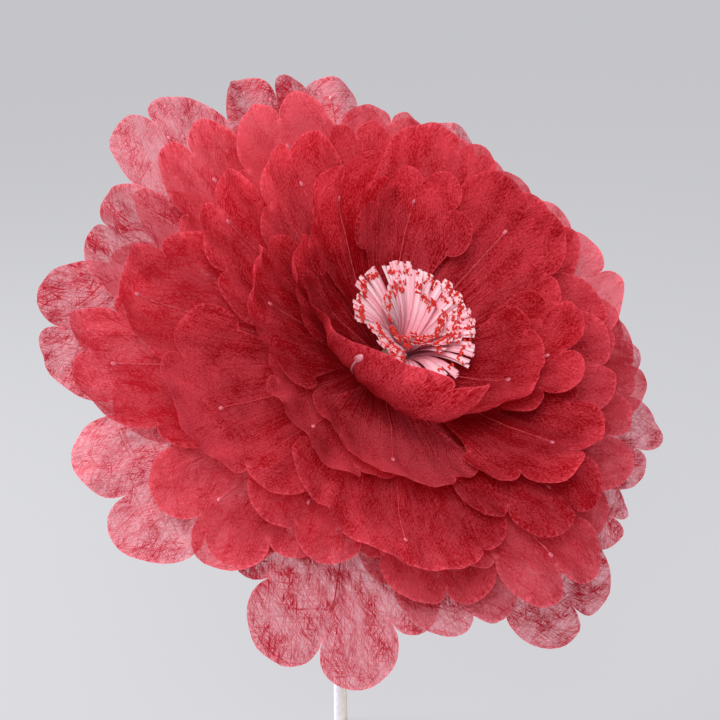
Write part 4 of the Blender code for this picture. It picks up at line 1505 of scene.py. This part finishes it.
def grains_tree() -> bpy.types.NodeTree:
    """Return a tree that puts a cluster of grains on the ends of a fringe's strips.

    Returns:
        The tree, with the inputs of every fringe and two of its own: the share of the strips that
        get grains, and the size of one grain.
    """
    own_inputs = (("Share", "NodeSocketFloat", 1.0), ("Grain", "NodeSocketFloat", GRAIN_RADIUS))
    outputs = (("Geometry", "NodeSocketGeometry"),)
    tree = new_group("fringe_grains", "GeometryNodeTree", FRINGE_INPUTS + own_inputs, outputs)
    bench = Bench(tree)
    given = bench.node("NodeGroupInput")
    kinds = bench.node("GeometryNodeGeometryToInstance")
    for number, reach in enumerate(GRAIN_REACH):
        cluster = grain_cluster(bench, given, number, reach)
        bench.put(kinds.inputs[0], cluster.outputs[0])
    places = place_strips(bench, given).outputs
    own = bench.spread(0.0, 0.5, given.outputs["Seed"], 12)
    chance = bench.math("MULTIPLY_ADD", places["Bundle"], 0.5, own)
    pick = bench.node("FunctionNodeRandomValue", data_type="INT")
    pick.inputs[4].default_value = 0
    pick.inputs[5].default_value = len(GRAIN_REACH) - 1
    copies = bench.node("GeometryNodeInstanceOnPoints")
    bench.fill(
        copies,
        Selection=bench.math("LESS_THAN", chance, given.outputs["Share"]),
        Instance=kinds.outputs[0],
        Pick_Instance=True,
        Instance_Index=pick.outputs[2],
    )
    for label in ("Points", "Rotation", "Scale"):
        bench.put(copies.inputs[label], places[label])
    bench.put(bench.node("NodeGroupOutput").inputs[0], lean_over(bench, given, copies.outputs[0]))
    return tree


def finish_piece(obj: bpy.types.Object, *nodes: str, slot: str = "") -> None:
    """Ride a piece on the one body, let it stand for its nodes, and report it.

    Args:
        obj: The piece.
        nodes: The CAD nodes that it stands for, if any.
        slot: Not used.
    """
    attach(obj, "root")
    if nodes:
        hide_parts(*nodes)
    LOG.info("%s: %d faces", obj.name, len(obj.data.polygons))


@dataclass
class PetalRing:
    """One set of petals: their sheets, their papered wires and the tabs on the wires' ends."""

    name: str
    cuts: tuple[PetalCut, ...]
    paper: PaperFinish
    wire: SpeckledFinish
    tab: SpeckledFinish
    grid: float = 0.0065
    wire_radius: float = WIRE_RADIUS
    fibre_turn: float = 14.0
    tab_width: float = 0.0044
    tab_length: float = 0.0068

    def build(self) -> None:
        """Build every petal of the set."""
        paper = self.paper.material()
        wire = self.wire.material()
        tab = self.tab.material()
        broad = PALE_STRIP.material() if any(cut.rib_outside for cut in self.cuts) else None
        for number, cut in enumerate(self.cuts, start=1):
            place = head_matrix() @ Matrix.Rotation(-math.radians(cut.azimuth), 4, "Z")
            self.build_sheet(number, cut, place, paper)
            self.build_wire(number, cut, place, broad if cut.rib_outside else wire)
            self.build_tab(number, cut, place, broad if cut.rib_outside else tab)

    def inner_points(self, loop: list[Vector]) -> list[Vector]:
        """Return points inside the cut: a ring just inside the edge, and an even grid.

        Args:
            loop: The petal's flat outline.

        Returns:
            The points, with those of the ring first.
        """
        corners = np.array([(p.x, p.y) for p in loop])
        ahead = np.roll(corners, -1, axis=0)
        edge = ahead - corners
        inward = np.stack([edge[:, 1], -edge[:, 0]], axis=1)
        inward /= np.linalg.norm(inward, axis=1)[:, None]
        ring = 0.5 * (corners + ahead) + inward * EDGE_INSET
        if not self.inside(ring[:1], corners, ahead)[0]:
            ring = 0.5 * (corners + ahead) - inward * EDGE_INSET
        low = corners.min(axis=0)
        high = corners.max(axis=0)
        rows = np.arange(low[1], high[1], self.grid * ROW_SHARE)
        grid = []
        for number, height in enumerate(rows):
            start = low[0] + (0.5 * self.grid if number % 2 else 0.0)
            grid += [(x, height) for x in np.arange(start, high[0], self.grid)]
        found = []
        for points, clear in ((ring, EDGE_CLEAR), (np.array(grid), GRID_CLEAR * self.grid)):
            keep = self.inside(points, corners, ahead) & (self.nearest(points, corners, edge) > clear)
            found += [Vector(point) for point in points[keep]]
        return found

    @staticmethod
    def inside(points: np.ndarray, start: np.ndarray, end: np.ndarray) -> np.ndarray:
        """Return which points lie inside a closed loop of edges.

        Args:
            points: The points.
            start: Where each edge starts.
            end: Where each edge ends.

        Returns:
            One true or false for each point.
        """
        x = points[:, 0][:, None]
        y = points[:, 1][:, None]
        crosses = (start[:, 1] > y) != (end[:, 1] > y)
        rise = np.where(end[:, 1] == start[:, 1], FLAT_RISE, end[:, 1] - start[:, 1])
        meet = start[:, 0] + (y - start[:, 1]) / rise * (end[:, 0] - start[:, 0])
        return (crosses & (x < meet)).sum(axis=1) % 2 == 1

    @staticmethod
    def nearest(points: np.ndarray, start: np.ndarray, edge: np.ndarray) -> np.ndarray:
        """Return each point's distance from the nearest of some edges.

        Args:
            points: The points.
            start: Where each edge starts.
            edge: Each edge, from its start to its end.

        Returns:
            One distance for each point.
        """
        away = points[:, None, :] - start[None, :, :]
        share = (away * edge).sum(axis=2) / (edge**2).sum(axis=1)
        off = away - np.clip(share, 0.0, 1.0)[:, :, None] * edge
        return np.sqrt((off**2).sum(axis=2)).min(axis=1)

    def build_sheet(
        self, number: int, cut: PetalCut, place: Matrix, paper: bpy.types.Material
    ) -> None:
        """Build one petal's sheet of paper from its flat cut.

        Args:
            number: Number of the petal in its ring.
            cut: The petal.
            place: Where its own axes lie in the frame.
            paper: What it wears.
        """
        loop = cut.outline()
        flat = loop + self.inner_points(loop)
        result = delaunay_2d_cdt(flat, [], [list(range(len(loop)))], 1, MERGE_DISTANCE)
        flat = result[0]
        points = []
        for spot in flat:
            lift = cut.relief(spot.x, spot.y)
            points.append(place @ (cut.bent(spot.x, spot.y) + lift * cut.normal(spot.x, spot.y)))
        faces = [list(face) for face in result[2]]
        mesh = make_mesh(f"{self.name}_sheet_{number:02d}", points, faces, paper)
        rim = {index for index, sources in enumerate(result[3]) if sources and min(sources) < len(loop)}
        values = {
            "edge": [1.0 if index in rim else 0.0 for index in range(len(flat))],
            "along": [min(1.0, max(0.0, spot.y / cut.length)) for spot in flat],
            "fan": [math.atan2(spot.x, spot.y + FAN_APEX) * FAN_PLEATS + cut.seed() for spot in flat],
        }
        for label, numbers in values.items():
            mesh.attributes.new(label, "FLOAT", "POINT").data.foreach_set("value", numbers)
        self.lay_pattern(mesh, cut, flat)
        obj = make_object(mesh.name, mesh)
        finish_piece(obj, f"{self.name}_petal_{number:02d}", slot=f"{self.name}_paper")

    def lay_pattern(self, mesh: bpy.types.Mesh, cut: PetalCut, flat: list[Vector]) -> None:
        """Give a sheet its place on the flat paper, turned and shifted on its own.

        Args:
            mesh: The sheet's mesh.
            cut: The petal.
            flat: Its points on the flat cut.
        """
        shift = Vector((cut.seed() % PAPER_WIDE, cut.seed() % PAPER_LONG))
        angle = math.radians(self.fibre_turn * (cut.seed() * 5.0 % 2.0 - 1.0))
        laid = [Matrix.Rotation(angle, 2) @ spot + shift for spot in flat]
        uv = mesh.uv_layers.new(name="cut")
        uv.data.foreach_set("uv", [value for item in mesh.loops for value in laid[item.vertex_index]])

    def build_wire(
        self, number: int, cut: PetalCut, place: Matrix, wire: bpy.types.Material
    ) -> None:
        """Build the papered wire along the middle of one petal.

        Args:
            number: Number of the petal in its ring.
            cut: The petal.
            place: Where its own axes lie in the frame.
            wire: What it wears.
        """
        end = cut.rib_end * cut.length
        radius = BROAD_TAB * self.wire_radius if cut.rib_outside else self.wire_radius
        line = []
        for step in range(WIRE_STEPS + 1):
            along = RIB_START + (end - RIB_START) * step / WIRE_STEPS
            lift = cut.relief(0.0, along) + (-radius if cut.rib_outside else radius)
            line.append(cut.bent(0.0, along) + lift * cut.normal(0.0, along))
        mesh = bpy.data.meshes.new("line")
        mesh.from_pydata([tuple(p) for p in line], [(n, n + 1) for n in range(WIRE_STEPS)], [])
        name = f"{self.name}_wire_{number:02d}"
        sizes = {"Radius": radius, "Sides": WIRE_SIDES, "Finish": wire}
        obj = grown(name, mesh, tube_tree(), place, **sizes)
        obj.data.shade_smooth()
        finish_piece(obj)

    def build_tab(self, number: int, cut: PetalCut, place: Matrix, tab: bpy.types.Material) -> None:
        """Build the domed oval tab that holds the end of one wire to its petal.

        Args:
            number: Number of the petal in its ring.
            cut: The petal.
            place: Where its own axes lie in the frame.
            tab: What it wears.
        """
        centre = cut.rib_end * cut.length - TAB_BACK * self.tab_length
        face = -1.0 if cut.rib_outside else 1.0
        size = BROAD_TAB if cut.rib_outside else 1.0
        points = []
        for share, lift in TAB_PROFILE:
            for step in range(1 if share == 0.0 else TAB_SIDES):
                angle = 2.0 * math.pi * step / TAB_SIDES
                across = 0.5 * size * self.tab_width * share * math.sin(angle)
                along = centre + 0.5 * size * self.tab_length * share * math.cos(angle)
                rise = face * (lift + TAB_LIFT) + cut.relief(across, along)
                points.append(place @ (cut.bent(across, along) + rise * cut.normal(across, along)))
        rings = len(TAB_PROFILE) - 1
        faces = [[0, 1 + step, 1 + (step + 1) % TAB_SIDES] for step in range(TAB_SIDES)]
        faces += ring_faces(rings, TAB_SIDES, 1)
        last = 1 + TAB_SIDES * (rings - 1)
        faces.append([last + step for step in range(TAB_SIDES)])
        mesh = make_mesh(f"{self.name}_tab_{number:02d}", points, faces, tab)
        turn_outwards(mesh)
        finish_piece(make_object(mesh.name, mesh))


@dataclass
class FringeRoll:
    """One rolled fringe: its bundles of strips and the grains on their ends."""

    node: str
    roll: int
    bundles: int
    strips: int
    length: float
    bend: float
    splay: tuple[float, float]
    seed: int
    share: float
    width: float = 0.0053

    def build(
        self,
        strips: bpy.types.NodeTree,
        grains: bpy.types.NodeTree,
        strip: bpy.types.Material,
        grain: bpy.types.Material,
    ) -> None:
        """Grow the strips and the grains of the roll.

        Args:
            strips: The tree that grows strips.
            grains: The tree that grows grains.
            strip: What the strips wear.
            grain: What the grains wear.
        """
        drift = Vector((math.sin(FRINGE_DRIFT_AZIMUTH), math.cos(FRINGE_DRIFT_AZIMUTH), 0.0))
        sizes = {
            "Bundles": self.bundles,
            "Strips": self.strips,
            "Roll_Radius": SPIGOT_RADIUS + GAP + (self.roll + 0.5) * FRINGE_ROLL,
            "Foot": CORE_ABOVE + GAP + STRIP_FOOT,
            "Length": self.length,
            "Width": self.width,
            "Bend": math.radians(self.bend),
            "Least_Splay": math.radians(self.splay[0]),
            "Most_Splay": math.radians(self.splay[1]),
            "Drift": FRINGE_DRIFT * drift,
            "Seed": self.seed,
        }
        seed_mesh = bpy.data.meshes.new("seed")
        place = head_matrix()
        piece = grown(self.node + "_strips", seed_mesh, strips, place, Finish=strip, **sizes)
        finish_piece(piece, self.node, slot="fringe_paper")
        sizes["Share"] = self.share
        finish_piece(grown(self.node + "_grains", seed_mesh, grains, place, Finish=grain, **sizes))


@dataclass
class Wound:
    """Paper tape wound in a spiral round a path, with each turn lapping over the last."""

    name: str
    node: str
    inner: float
    outer: float
    pitch: float
    lap: float
    slot: str

    def build(
        self, path: list[tuple[Vector, Vector]], material: bpy.types.Material, solid: bool
    ) -> None:
        """Build the wound tape along a path in the YZ plane.

        Args:
            path: Places and directions along its middle, close together.
            material: The finish that it wears.
            solid: Whether it fills its middle, as a wound bundle does.
        """
        points = []
        travelled = 0.0
        last = path[0][0]
        for place, onward in path:
            travelled += (place - last).length
            last = place
            for step in range(WOUND_SIDES):
                phase = (travelled / self.pitch - step / WOUND_SIDES) % 1.0
                rise = min(1.0, LAP_DROP * (1.0 - phase)) * (LAP_START + (1.0 - LAP_START) * phase)
                arm = self.outer - self.lap + self.lap * rise
                points.append(place + arm * self.spoke(onward, step))
        rows = len(path)
        faces = ring_faces(rows, WOUND_SIDES, 0)
        top = (rows - 1) * WOUND_SIDES
        if solid:
            faces.append(list(range(WOUND_SIDES)))
            faces.append(list(range(top, top + WOUND_SIDES)))
        else:
            first = len(points)
            for place, onward in (path[0], path[-1]):
                points += [place + self.inner * self.spoke(onward, n) for n in range(WOUND_SIDES)]
            faces += ring_faces(2, WOUND_SIDES, first)
            for step in range(WOUND_SIDES):
                after = (step + 1) % WOUND_SIDES
                second = first + WOUND_SIDES
                faces.append([step, after, first + after, first + step])
                faces.append([top + step, top + after, second + after, second + step])
        mesh = make_mesh(self.name, points, faces, material)
        turn_outwards(mesh)
        mesh.set_sharp_from_angle(angle=SHARP_EDGE)
        finish_piece(make_object(self.name, mesh), self.node, slot=self.slot)

    @staticmethod
    def spoke(onward: Vector, step: int) -> Vector:
        """Return the direction from the path to one point of the ring round it.

        Args:
            onward: Direction of the path.
            step: Number of the point, from 0.

        Returns:
            A direction of length 1.
        """
        across = Vector((1.0, 0.0, 0.0))
        angle = 2.0 * math.pi * step / WOUND_SIDES
        return math.cos(angle) * across + math.sin(angle) * onward.cross(across)


@dataclass
class Stem:
    """The pole with its wound wrap, the bound neck, and the nodes that keep their CAD shape."""

    white: SpeckledFinish
    neck: SpeckledFinish
    tape: SpeckledFinish
    card: SpeckledFinish
    wood: WoodFinish

    def build(self, nodes: dict) -> None:
        """Build the wound pieces, and dress the pole, the tape strip and the core.

        Args:
            nodes: The CAD nodes by name.
        """
        white = self.white.material()
        wrap_outer = POLE_RADIUS + GAP + WRAP_THICKNESS
        wrap = Wound("wound_pole_wrap", "pole_wrap", inner=POLE_RADIUS + GAP, outer=wrap_outer,
                     pitch=0.0185, lap=0.0004, slot="white_paper")
        wrap.build(self.straight(WRAP_START, POLE_LENGTH - GAP, WOUND_STEP), white, False)
        neck = Wound("wound_neck", "neck_bundle", inner=0.0, outer=NECK_RADIUS, pitch=0.0120,
                     lap=0.0006, slot="neck_paper")
        reach = NECK_STRAIGHT + SOCKET_DEPTH - CORE_BELOW - GAP
        neck.build(self.even(neck_path(reach, NECK_PATH_STEPS), NECK_STEP), self.neck.material(), True)
        inner = max(NECK_RADIUS, wrap_outer) + GAP
        binding = Wound("wound_binding", "neck_binding", inner=inner, outer=inner + BINDING_THICKNESS,
                        pitch=0.0095, lap=0.0005, slot="binding_paper")
        low = POLE_LENGTH - 0.5 * BINDING_LENGTH
        binding.build(self.straight(low, low + BINDING_LENGTH, WOUND_STEP), white, False)
        dressed = {"stem_pole": self.wood, "tape_strip": self.tape, "flower_core": self.card}
        for node, finish in dressed.items():
            nodes[node].data.materials.clear()
            nodes[node].data.materials.append(finish.material())

    @staticmethod
    def straight(low: float, high: float, step: float) -> list[tuple[Vector, Vector]]:
        """Return places along the pole at even steps, with their direction.

        Args:
            low: Where it starts.
            high: Where it ends.
            step: About one step.

        Returns:
            Pairs of a place and a direction.
        """
        count = round((high - low) / step)
        up = Vector((0.0, 0.0, 1.0))
        return [(Vector((0.0, 0.0, low + (high - low) * n / count)), up) for n in range(count + 1)]

    @staticmethod
    def even(path: list[tuple[Vector, Vector]], step: float) -> list[tuple[Vector, Vector]]:
        """Return a path again with places at about even steps.

        Args:
            path: The path.
            step: About one step.

        Returns:
            Pairs of a place and a direction.
        """
        found = [path[0]]
        for (start, first), (end, second) in zip(path, path[1:]):
            count = max(1, round((end - start).length / step))
            for number in range(1, count + 1):
                share = number / count
                found.append((start.lerp(end, share), first.lerp(second, share).normalized()))
        return found


@dataclass(frozen=True)
class Lamp:
    """A square soft lamp that faces the flower."""

    name: str
    place: tuple[float, float, float]
    size: float
    power: float

    def build(self) -> None:
        """Hang the lamp."""
        data = bpy.data.lights.new(self.name, "AREA")
        data.shape = "SQUARE"
        data.size = self.size
        data.energy = self.power
        lamp = bpy.data.objects.new(self.name, data)
        lamp.location = self.place
        aim = head_matrix().translation - Vector(self.place)
        lamp.rotation_euler = aim.to_track_quat("-Z", "Y").to_euler()
        bpy.context.scene.collection.objects.link(lamp)


LAMPS = (
    Lamp("key", (-1.5, -1.7, 2.2), size=1.2, power=77.0),
    Lamp("fill", (2.0, -1.4, 1.4), size=1.8, power=5.0),
    Lamp("back", (-0.9, 1.3, 2.3), size=1.4, power=135.0),
)


@dataclass
class Studio:
    """Pale floor, soft lamps and the camera."""

    azimuth: float = -37.6
    elevation: float = 20.0
    distance: float = 1.6
    focal: float = 70.2
    sensor: float = 36.0
    picture: float = 720.0
    centre: tuple[float, float] = (375.0, 375.0)

    def build(self) -> None:
        """Build the floor, the world, the lamps and the camera."""
        self.build_floor()
        self.build_world()
        for lamp in LAMPS:
            lamp.build()
        self.build_camera()

    def build_floor(self) -> None:
        """Build a wide plain floor, which is pale to the camera and keeps its shadow."""
        material, bench, shader, output = new_material("studio_floor")
        bench.fill(shader, Roughness=FLOOR_ROUGHNESS, Base_Color=FLOOR_COLOUR)
        shine = bench.fill(bench.node("ShaderNodeEmission"), Color=FLOOR_SEEN)
        seen = bench.node("ShaderNodeLightPath").outputs["Is Camera Ray"]
        both = bench.blend(bench.math("MULTIPLY", seen, FLOOR_SHARE), shader, shine)
        bench.put(output.inputs["Surface"], both.outputs[0])
        signs = ((-1, -1), (1, -1), (1, 1), (-1, 1))
        corners = [(x * FLOOR_HALF, y * FLOOR_HALF, 0.0) for x, y in signs]
        floor = make_object("floor", make_mesh("floor", corners, [[0, 1, 2, 3]], material))

    def build_world(self) -> None:
        """Build an even pale surround."""
        world = bpy.data.worlds.new("surround")
        world.use_nodes = True
        bench = Bench(world.node_tree)
        seen = bench.fill(bench.node("ShaderNodeBackground"), Color=SURROUND_SEEN)
        light = world.node_tree.nodes["Background"]
        bench.fill(light, Color=SURROUND_LIGHT, Strength=SURROUND_STRENGTH)
        both = bench.blend(bench.node("ShaderNodeLightPath").outputs["Is Camera Ray"], light, seen)
        bench.put(world.node_tree.nodes["World Output"].inputs["Surface"], both.outputs[0])
        bpy.context.scene.world = world

    def build_camera(self) -> None:
        """Place the camera at the photograph's angle, with the flower's place in its frame."""
        az = math.radians(self.azimuth)
        el = math.radians(self.elevation)
        back = Vector((math.sin(az) * math.cos(el), -math.cos(az) * math.cos(el), math.sin(el)))
        right = Vector((math.cos(az), math.sin(az), 0.0))
        camera = bpy.data.objects.new("camera", bpy.data.cameras.new("camera"))
        camera.data.sensor_width = self.sensor
        camera.data.lens = self.focal
        camera.data.shift_x = 0.5 - self.centre[0] / self.picture
        camera.data.shift_y = self.centre[1] / self.picture - 0.5
        turn = Matrix((right, back.cross(right), back)).transposed().to_4x4()
        place = head_matrix().translation + back * self.distance
        camera.matrix_world = Matrix.Translation(place) @ turn
        bpy.context.scene.collection.objects.link(camera)
        bpy.context.scene.camera = camera
        bpy.context.scene.view_settings.view_transform = "Standard"


OUTER_PAPER = PaperFinish(
    "outer_paper",
    pale=(0.80, 0.25, 0.30),
    deep=(0.36, 0.012, 0.028),
    tint=(0.97, 0.62, 0.66),
    tone=Blend(-0.02, 0.50, 0.26, 0.38, -0.40),
    cover=Blend(0.32, 0.34, 0.16, 0.34, 0.30),
    glow=0.38,
    relief=0.0006,
    crepe=0.15,
    foot_painted_shade=0.35,
    pleat_painted_light_and_relief=0.3,
)
SECOND_PAPER = PaperFinish(
    "second_paper",
    pale=(0.85, 0.140, 0.185),
    deep=(0.43, 0.010, 0.022),
    tint=(0.97, 0.40, 0.44),
    tone=Blend(-0.16, 0.48, 0.36, 0.42, -0.50),
    cover=Blend(0.38, 0.14, 0.18, 0.22, 0.18),
    glow=0.38,
    relief=0.0010,
    crepe=0.45,
    foot_painted_shade=0.60,
    pleat_painted_light_and_relief=1.0,
)
MIDDLE_PAPER = PaperFinish(
    "middle_paper",
    pale=(0.80, 0.100, 0.140),
    deep=(0.35, 0.003, 0.009),
    tint=(0.94, 0.22, 0.26),
    tone=Blend(-0.10, 0.40, 0.34, 0.46, -0.55),
    cover=Blend(0.50, 0.10, 0.14, 0.18, 0.14),
    glow=0.36,
    relief=0.0010,
    crepe=0.8,
    foot_painted_shade=0.62,
    pleat_painted_light_and_relief=1.3,
)
INNER_PAPER = PaperFinish(
    "inner_paper",
    pale=(0.74, 0.066, 0.096),
    deep=(0.31, 0.0015, 0.005),
    tint=(0.90, 0.16, 0.20),
    tone=Blend(-0.06, 0.30, 0.34, 0.44, -0.55),
    cover=Blend(0.72, 0.08, 0.10, 0.12, 0.08),
    glow=0.32,
    relief=0.0010,
    crepe=1.0,
    foot_painted_shade=0.56,
    pleat_painted_light_and_relief=1.5,
)
# Painted shade: the outer petals' wires are coloured dark, as they look against light shining through
# the paper
PAINTED_SHADE_WIRE = SpeckledFinish("painted_shade_wire", (0.42, 0.012, 0.024), (0.26, 0.005, 0.010), 300.0, 0.6)
RED_WIRE = SpeckledFinish("red_wire", (0.62, 0.10, 0.13), (0.40, 0.020, 0.032), 300.0, 0.55)
PINK_WIRE = SpeckledFinish("pink_wire", (0.56, 0.055, 0.075), (0.38, 0.012, 0.022), 300.0, 0.5)
PALE_TAB = SpeckledFinish("pale_tab", (0.74, 0.20, 0.25), (0.60, 0.10, 0.14), 400.0, 0.4, glow=0.2)
PALE_STRIP = SpeckledFinish(
    "pale_strip", (0.76, 0.34, 0.41), (0.64, 0.20, 0.26), 260.0, 0.45, glow=0.15
)
STRIP = StripFinish(
    "fringe_strip", root=(0.93, 0.46, 0.55), end=(0.97, 0.87, 0.90), crease=(0.94, 0.60, 0.68)
)
GRAIN = SpeckledFinish("red_grain", (0.74, 0.030, 0.018), (0.56, 0.010, 0.008), 500.0, 0.4)
WHITE = SpeckledFinish("white_paper", (0.80, 0.80, 0.83), (0.70, 0.70, 0.74), 120.0, 0.75)
NECK = SpeckledFinish("neck_paper", (0.76, 0.75, 0.76), (0.64, 0.63, 0.66), 120.0, 0.8)
TAPE = SpeckledFinish("cream_tape", (0.80, 0.78, 0.71), (0.72, 0.69, 0.61), 90.0, 0.6)
CARD = SpeckledFinish("core_card", (0.70, 0.56, 0.44), (0.55, 0.42, 0.32), 200.0, 0.85)
WOOD = WoodFinish("pole_wood", (0.66, 0.50, 0.32), (0.46, 0.32, 0.18))

RINGS = (
    PetalRing("outer", OUTER_CUTS, OUTER_PAPER, PAINTED_SHADE_WIRE, PALE_TAB, fibre_turn=85.0),
    PetalRing("second", SECOND_CUTS, SECOND_PAPER, RED_WIRE, PALE_TAB),
    PetalRing("middle", MIDDLE_CUTS, MIDDLE_PAPER, PINK_WIRE, PALE_TAB),
    PetalRing("inner", INNER_CUTS, INNER_PAPER, PINK_WIRE, PALE_TAB),
)

ROLLS = (
    FringeRoll("fringe_inner", roll=0, bundles=6, strips=12, length=0.074, bend=20.0,
               splay=(0.0, 24.0), seed=3, share=0.66),
    FringeRoll("fringe_middle", roll=1, bundles=8, strips=14, length=0.084, bend=40.0,
               splay=(2.0, 22.0), seed=5, share=0.66),
    FringeRoll("fringe_outer", roll=2, bundles=11, strips=15, length=0.090, bend=56.0,
               splay=(4.0, 27.0), seed=8, share=0.70),
)


def main() -> None:
    """Build the flower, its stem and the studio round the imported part."""
    logging.basicConfig(level=logging.INFO, format="%(message)s")
    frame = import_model()
    for ring in RINGS:
        ring.build()
    strips = strips_tree()
    grains = grains_tree()
    strip = STRIP.material()
    grain = GRAIN.material()
    for roll in ROLLS:
        roll.build(strips, grains, strip, grain)
    Stem(WHITE, NECK, TAPE, CARD, WOOD).build(frame["nodes"])
    Studio().build()


if __name__ == "__main__":
    main()
